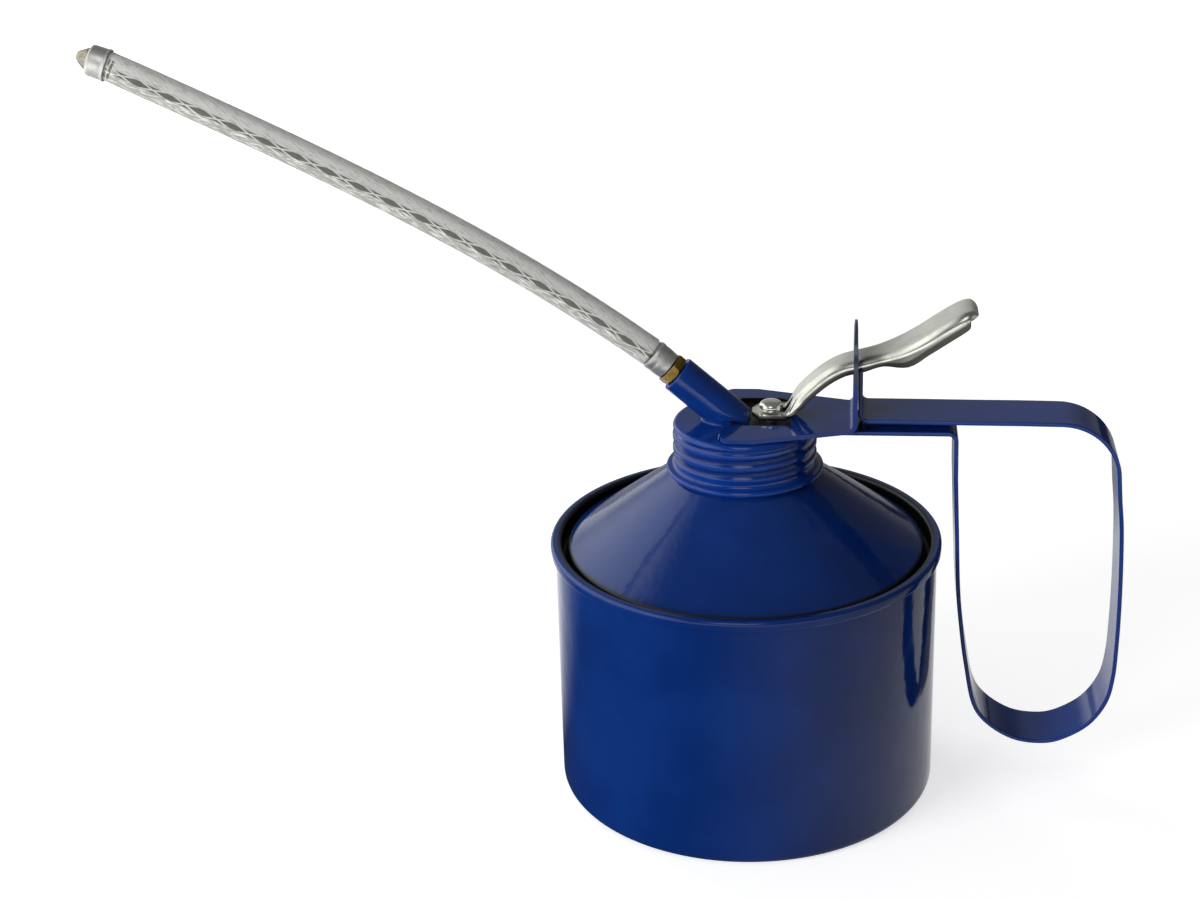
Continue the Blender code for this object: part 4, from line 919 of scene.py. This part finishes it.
# %% Braze at the socket's foot
BEAD_FOOT = 102.47  # just above the lid
SLANT = 1.51  # how much longer than wide the slanted socket meets the lid
braze = start("socket_braze", bpy.ops.mesh.primitive_torus_add, major_segments=96, minor_segments=16,
              major_radius=5.0 * MM, minor_radius=0.62 * MM,
              location=(SPOUT_ROOT[0] * MM, 0.0, SPOUT_ROOT[1] * MM))
braze.scale = (SLANT, 1.0, 1.0)
settle()
cut(braze, box("braze_right", (-5.6, 30.0), (-20.0, 20.0), (90.0, 110.0)))
cut(braze, box("braze_low", (-30.0, 30.0), (-20.0, 20.0), (90.0, BEAD_FOOT)))
hand_over(braze, bracket_enamel, "head", angle=60.0)

# %% Weld at the plate's corner
weld = start("corner_weld", bpy.ops.mesh.primitive_ico_sphere_add, subdivisions=4, radius=1.0 * MM)
bpy.ops.object.mode_set(mode="OBJECT")
for spot in weld.data.vertices:
    lump = 1.0 + 0.16 * math.sin(3900 * spot.co.x + 1.0) * math.cos(3100 * spot.co.y)
    x, y, z = (value / MM * lump for value in spot.co)
    spot.co = Vector((-5.5 + 0.75 * x, -12.9 + 1.9 * y, 102.8 + 0.75 * z)) * MM
cut(weld, box("weld_low", (-12.0, 0.0), (-20.0, 20.0), (90.0, BEAD_FOOT)))
hand_over(weld, bracket_enamel, "head", angle=60.0)

# %% Nipple
nipple_line = [(1.05, 28.1), (1.4, 26.9), (1.2, 26.8), (1.4, 25.5), (1.2, 25.4), (1.2, 21.7)]
nipple_line += [(3.75, 21.7), (3.95, 21.62), (4.36, 21.2), (4.36, 19.8), (3.95, 19.38), (3.75, 19.3)]
nipple_line += [(2.6, 19.3), (2.6, 13.3), (0.7, 13.3), (0.7, 28.1)]
nipple = ring("hexagon_nipple", nipple_line, 96)
hexagon = arc((0.0, 0.0), 4.35, 0.0, 300.0, 5)
cut(nipple, slab("gauge", hexagon, 0.0, 40.0, "Z"), "INTERSECT")
set_down(nipple, SPOUT_ROOT, SPOUT_SLOPE)
hand_over(nipple, brass, "head", "spout_nipple", angle=25.0)

# %% Ferrules
crimp_curve = [(3.75, 27.15), (3.95, 26.5), (3.9, 25.9), (3.78, 25.3), (3.86, 24.7), (3.82, 23.6), (3.7, 22.1)]
crimp = [(3.4, 27.3), (3.62, 27.26)] + smooth(crimp_curve, 4) + [(3.66, 22.0), (3.4, 22.0)]
lower_ferrule = ring("foot_ferrule", crimp, 96)
set_down(lower_ferrule, SPOUT_ROOT, SPOUT_SLOPE)
hand_over(lower_ferrule, aluminium, "head", "lower_ferrule")

lip_curve = [(3.3, 5.0), (3.72, 4.78), (3.95, 4.2), (4.0, 3.2), (4.03, 1.6), (4.06, 0.8), (4.2, 0.35)]
ring_line = [(3.12, 5.0), (3.22, 5.0)] + smooth(lip_curve, 4)
ring_line += [(4.2, 0.1), (4.12, 0.0), (3.9, 0.0), (3.8, 0.6), (3.65, 4.1), (3.3, 4.6), (3.12, 4.6)]
upper_ferrule = ring("tip_ferrule", ring_line, 96)
set_down(upper_ferrule, hose_tip(0.0), UPPER_SLOPE)
hand_over(upper_ferrule, aluminium, "head", "upper_ferrule")

# %% Nozzle
taper = [(0.8, 8.07), (1.15, 7.85), (1.6, 7.3), (2.2, 6.45), (2.72, 5.6), (3.0, 5.05)]
tip_line = [(0.6, 8.1)] + smooth(taper, 4)
tip_line += [(3.05, 4.8), (3.05, 3.7), (1.2, 3.7)]
for barb in range(3):
    top = 3.0 - 1.6 * barb
    tip_line += [(1.2, top), (1.4, top - 0.1), (1.1, top - 1.3)]
tip_line += [(0.6, -1.5)]
nozzle = ring("tip_nozzle", tip_line, 80)
set_down(nozzle, hose_tip(0.0), UPPER_SLOPE)
hand_over(nozzle, tip_steel, "head", "nozzle", angle=40.0)
[value * MM for value in (hose_line[0][0], 0.0, hose_line[0][1])]
[(x * MM, 0.0, z * MM) for x, z in hose_line]

# %% [markdown]
# ## The thumb lever
#
# The lever is pressed from one chromed sheet: a flat tongue that lifts the rod's head, a narrow
# channel through the upright's slot, and a broad spoon for the thumb. A grid is a good start,
# since its rows become stations along the lever and its columns are folded down at both sides
# into flanges. The stations are smoothed between a few measured ones.

# %% Stations of the lever
LEVER_SHEET = 0.9
TONGUE_TOP = 105.15
LEVER_STATIONS = [
    # x, height of the crown, half width, flange depth, how far folded
    (2.0, TONGUE_TOP, 1.7, 0.0, 0.0),
    (4.0, TONGUE_TOP, 5.3, 0.0, 0.0),
    (7.0, TONGUE_TOP, 5.3, 0.0, 0.0),
    (10.3, TONGUE_TOP, 5.3, 0.0, 0.0),
    (11.4, 106.8, 5.3, 1.8, 0.7),
    (12.5, 108.9, 5.3, 2.8, 1.0),
    (14.2, 111.5, 5.2, 3.1, 1.0),
    (19.2, 116.3, 5.0, 3.4, 1.0),
    (24.2, 119.3, 5.0, 3.4, 1.0),
    (29.2, 120.7, 5.2, 3.4, 1.0),
    (34.2, 122.1, 5.6, 3.0, 1.0),
    (39.2, 124.0, 6.6, 5.2, 1.0),
    (44.1, 126.7, 7.2, 4.5, 1.0),
    (49.0, 130.1, 7.3, 4.5, 1.0),
    (53.8, 133.1, 7.0, 4.3, 1.0),
    (56.4, 133.9, 6.5, 3.2, 1.0),
    (57.8, 133.2, 5.7, 2.9, 1.0),
    (58.4, 132.3, 4.9, 2.6, 1.0),
]
SHOULDER_ROUND = 2.2
FLANGE_TUCK = 0.24  # how far the flange leans in with each millimetre of its depth
TUCK_START = 1.7
stations = LEVER_STATIONS[:3] + smooth(LEVER_STATIONS[3:], 5)
print("stations of the lever:", len(stations))


def folded_spot(half, flange, share):
    """How far out and how far down a point lies on the folded section."""
    bend = min(SHOULDER_ROUND, half)
    side_long = max(flange, bend + 0.2) - bend
    flat_long = half - bend
    round_long = bend * math.pi / 2
    walked = share * (flat_long + round_long + side_long)
    if walked <= flat_long:
        return walked, 0.0
    if walked <= flat_long + round_long:
        angle = (walked - flat_long) / bend
        return flat_long + bend * math.sin(angle), bend * (1.0 - math.cos(angle))
    return half, bend + walked - flat_long - round_long


# %% Folding the lever
def make_lever():
    """A flat grid, 24 columns wide, bent along the stations and given the sheet's thickness."""
    lever = start("thumb_lever", bpy.ops.mesh.primitive_grid_add, x_subdivisions=24,
                  y_subdivisions=len(stations) - 1, size=1.0)
    bpy.ops.object.mode_set(mode="OBJECT")
    lever.data.uv_layers[0].name = "across_sheet"
    for spot in lever.data.vertices:
        across = spot.co.x * 2
        at = round((spot.co.y + 0.5) * (len(stations) - 1))
        x, z, half, flange, fold = stations[at]
        before, after = stations[max(at - 1, 0)], stations[min(at + 1, len(stations) - 1)]
        slope = math.atan2(after[1] - before[1], after[0] - before[0])
        out, down = folded_spot(half, flange, abs(across))
        flat = half * abs(across)
        tuck = FLANGE_TUCK * max(0.0, down - TUCK_START)
        y = math.copysign(flat + (out - tuck - flat) * fold, across)
        drop = down * fold
        spot.co = Vector((x + drop * math.sin(slope), y, z - drop * math.cos(slope))) * MM
    choose(lever)
    bpy.ops.object.mode_set(mode="EDIT")
    bpy.ops.mesh.select_all(action="SELECT")
    bpy.ops.mesh.normals_make_consistent(inside=False)
    bpy.ops.object.mode_set(mode="OBJECT")
    upward = sum(face.normal.z for face in lever.data.polygons)
    side = -1.0 if upward > 0 else 1.0
    modify(lever, "SOLIDIFY", thickness=LEVER_SHEET * MM, offset=side, use_even_offset=True)
    slot = [(4.5, -1.0), (5.4, -1.85), (11.4, -1.85), (12.3, -1.0)]
    slot += [(x, -y) for x, y in slot[::-1]]
    cut(lever, slab("tongue_slot", slot, 100.0, 110.0, "Z"))
    round_edges(lever, 0.2, 2, 50.0)
    return lever


thumb_lever = make_lever()
hand_over(thumb_lever, chrome, "lever", "lever", angle=38.0)

# %% [markdown]
# ## The pump rod and its spring
#
# The rod ends in a domed head, which is all that shows of the pump. The spring below is one wire
# wound nine times. A small circle stood on edge and carried round by a Screw modifier makes it,
# with its two ends closed. It shortens as the rod goes up.

# %% Rod
dome_line = [(0.6, 107.84), (1.5, 107.72), (2.3, 107.44), (2.8, 107.05), (3.04, 106.6), (3.1, 106.2)]
head_line = [(0.0, 107.85)] + smooth(dome_line, 4) + [(3.1, 105.75), (3.0, 105.5), (2.85, 105.45)]
head_line += [(1.7, 105.45), (1.5, 105.3), (1.5, 60.2), (0.0, 60.2)]
rod = lathe("rod_with_head", head_line, 64)
shift(rod, PUMP_X)
hand_over(rod, rod_chrome, "rod", "pump_rod", angle=40.0)

# %% Spring
SPRING_TURNS = 9
SPRING_STEPS = 288
spring = start("wound_spring", bpy.ops.mesh.primitive_circle_add, vertices=14, radius=0.45 * MM,
               location=(3.3 * MM, 0.0, 62.75 * MM), rotation=(math.pi / 2, 0.0, 0.0))
settle()
modify(spring, "SCREW", angle=SPRING_TURNS * math.tau, screw_offset=27.0 * MM,
       steps=SPRING_STEPS, render_steps=SPRING_STEPS)
choose(spring)
bpy.ops.object.mode_set(mode="EDIT")
bpy.ops.mesh.select_all(action="SELECT")
bpy.ops.mesh.fill_holes(sides=0)
close_shell()
shift(spring, PUMP_X)
hand_over(spring, plain_steel, "head", "return_spring", angle=40.0)
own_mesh(spring)

# %% [markdown]
# ## The pump's hidden pieces
#
# The barrel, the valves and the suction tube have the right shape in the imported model, so they
# stay, and only get their metal.

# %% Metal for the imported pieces
HIDDEN_PIECES = {
    "outlet_chamber": plain_steel, "rod_gland": pump_brass, "pump_barrel": pump_brass,
    "spring_stop": pump_brass, "piston": pump_brass, "foot_valve_body": pump_brass,
    "foot_ball_pin": plain_steel, "foot_ball": plain_steel, "piston_ball": plain_steel,
    "suction_tube": plain_steel, "suction_strainer": pump_brass,
}
for name, finish in HIDDEN_PIECES.items():
    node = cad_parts[name]
    node.data.materials.clear()
    node.data.materials.append(finish)
print("packed pieces that stay:", len(HIDDEN_PIECES))

# %% [markdown]
# ## The studio
#
# A pale floor runs out to a white horizon. The lamps are large and soft. The enamel and chrome
# need something to mirror, so a dome that only reflections can see stands round the table. It is
# pale low down at the left and dim overhead, with a window high at the left, one high at the
# front and a faint back wall. Two dark cards lie on the floor, also for reflections only: one
# in front of the can, which keeps the drum deep blue, and one behind and to the right, which
# darkens the drum's right side and the handle's legs.

# %% Floor
def straight_rays(sheet):
    """1 for what the eye, a mirror or a clear thing sees of a surface."""
    seen = sheet.node("ShaderNodeLightPath", {}, {}, "Is Camera Ray")
    mirrored = sheet.node("ShaderNodeLightPath", {}, {}, "Is Glossy Ray")
    through = sheet.node("ShaderNodeLightPath", {}, {}, "Is Transmission Ray")
    return seen.most(mirrored).most(through)


floor_paper, paper = new_finish("floor_paper")
whiteness = 0.68 + 0.32 * paper.length(paper.place()).rise(0.25, 1.1)
paper.surface(Base_Color=(0.80, 0.80, 0.80, 1.0), Roughness=1.0, Specular_IOR_Level=0.0,
              Emission_Color=(1.0, 1.0, 1.0, 1.0), Emission_Strength=whiteness * straight_rays(paper))
floor = start("floor", bpy.ops.mesh.primitive_plane_add, size=12.0)
settle()
floor.data.materials.append(floor_paper)
print("width of the floor in metres:", round(floor.dimensions.x, 1))

# %% Helpers for what the enamel mirrors
def only_mirrored(piece, finish):
    """Finishes a stage piece and hides it from everything but reflections."""
    settle()
    piece.data.materials.append(finish)
    piece.visible_camera = False
    piece.visible_diffuse = False
    piece.visible_transmission = False
    piece.visible_volume_scatter = False
    piece.visible_shadow = False


def glow(sheet, strength):
    """A surface that only gives light of its own, slightly warm."""
    lamp = sheet.node("ShaderNodeEmission", {}, {"Color": (0.98, 1.0, 0.94, 1.0), "Strength": strength})
    sheet.node("ShaderNodeOutputMaterial", {}, {"Surface": lamp})


def dark_card(sheet, shade, strength):
    """A surface that is clear where shade is 0 and nearly black where it is 1."""
    clear = sheet.node("ShaderNodeBsdfTransparent", {}, {})
    black = sheet.node("ShaderNodeEmission", {}, {"Strength": strength})
    soft_edge = sheet.node("ShaderNodeMixShader", {}, {0: shade, 1: clear, 2: black})
    sheet.node("ShaderNodeOutputMaterial", {}, {"Surface": soft_edge})


# %% Dome
dome_light, tent = new_finish("dome_light")
aim = tent.node("ShaderNodeVectorMath", {"operation": "NORMALIZE"}, {0: tent.place()})
right, back, up = (tent.axis(aim, letter) for letter in "XYZ")
low_sky = up.rise(0.24, 0.04) * (0.05 + 0.95 * right.rise(0.20, -0.04))
left_window = right.rise(-0.42, -0.68) * up.rise(0.04, 0.24) * up.rise(0.93, 0.75)
back_wall = (1.0 - low_sky) * up.rise(0.80, 0.55) * back.rise(0.15, 0.55) * right.rise(0.45, 0.15)
front_sky = back.rise(-0.30, -0.55) * up.rise(0.45, 0.60) * up.rise(0.93, 0.82)
front_sky = front_sky * (right + 0.06).size().rise(0.26, 0.12)
tent_light = 0.11 + 0.90 * low_sky + 0.18 * back_wall + 1.35 * left_window + 1.9 * front_sky
glow(tent, tent_light)
dome = start("mirrored_tent", bpy.ops.mesh.primitive_uv_sphere_add, segments=64, ring_count=32, radius=3.0)
only_mirrored(dome, dome_light)
print("radius of the dome in metres:", round(0.5 * dome.dimensions.x, 1))

# %% Dark card in front
card_dark, card_sheet = new_finish("card_dark")
on_table = card_sheet.place()
ahead = -1.0 * card_sheet.axis(on_table, "Y")
bearing = card_sheet.maths("ARCTAN2", card_sheet.axis(on_table, "X"), ahead)
shade = bearing.rise(1.45, -0.45) * bearing.rise(-2.45, -1.65)
shade = shade * card_sheet.length(on_table).rise(0.43, 0.17)
dark_card(card_sheet, shade, 0.03)
card = start("mirrored_card", bpy.ops.mesh.primitive_circle_add, vertices=64, radius=0.46,
             fill_type="NGON", location=(0.0, 0.0, 0.0002))
only_mirrored(card, card_dark)

# %% Dark card behind and to the right
back_dark, back_sheet = new_finish("back_card_dark")
behind = back_sheet.place()
sideways = back_sheet.axis(behind, "X")
backwards = back_sheet.axis(behind, "Y")
at_right = sideways.rise(-0.10, 0.25) * (0.62 + 0.38 * backwards.rise(0.20, 0.50))
at_back = 0.75 * backwards.rise(0.11, 0.19) * sideways.rise(-0.80, -0.45)
dark_card(back_sheet, at_right.most(at_back), 0.02)
back_card = start("mirrored_back_card", bpy.ops.mesh.primitive_plane_add, size=3.2,
                  location=(0.8, 1.4, 0.0004))
only_mirrored(back_card, back_dark)
print("stage pieces that only reflections see:", ", ".join([dome.name, card.name, back_card.name]))

# %% Lamps and world
def soft_lamp(name, spot, target, size, power):
    """A large square lamp, in metres and watts, turned towards a point."""
    lamp = bpy.data.objects.new(name, bpy.data.lights.new(name, "AREA"))
    scene.collection.objects.link(lamp)
    lamp.data.size = size
    lamp.data.energy = power
    lamp.location = spot
    lamp.rotation_euler = (Vector(target) - Vector(spot)).to_track_quat("-Z", "Y").to_euler()
    lamp.visible_glossy = False


soft_lamp("overhead_lamp", (-0.25, -0.25, 1.5), (0.0, 0.0, 0.05), 1.4, 3.0)
soft_lamp("left_lamp", (-1.3, -1.25, 0.5), (0.0, 0.0, 0.05), 1.0, 27.0)
soft_lamp("rear_lamp", (-0.9, 1.1, 0.9), (0.0, 0.0, 0.1), 0.8, 7.0)
world = bpy.data.worlds.new("white_room")
scene.world = world
world.use_nodes = True
room = Sheet(world.node_tree)
seen_white = straight_rays(room)
backdrop = room.node("ShaderNodeBackground", {}, {"Color": (1.0, 1.0, 1.0, 1.0),
                                                  "Strength": seen_white.most(0.13)})
room.node("ShaderNodeOutputWorld", {}, {"Surface": backdrop})
scene.view_settings.view_transform = "Standard"
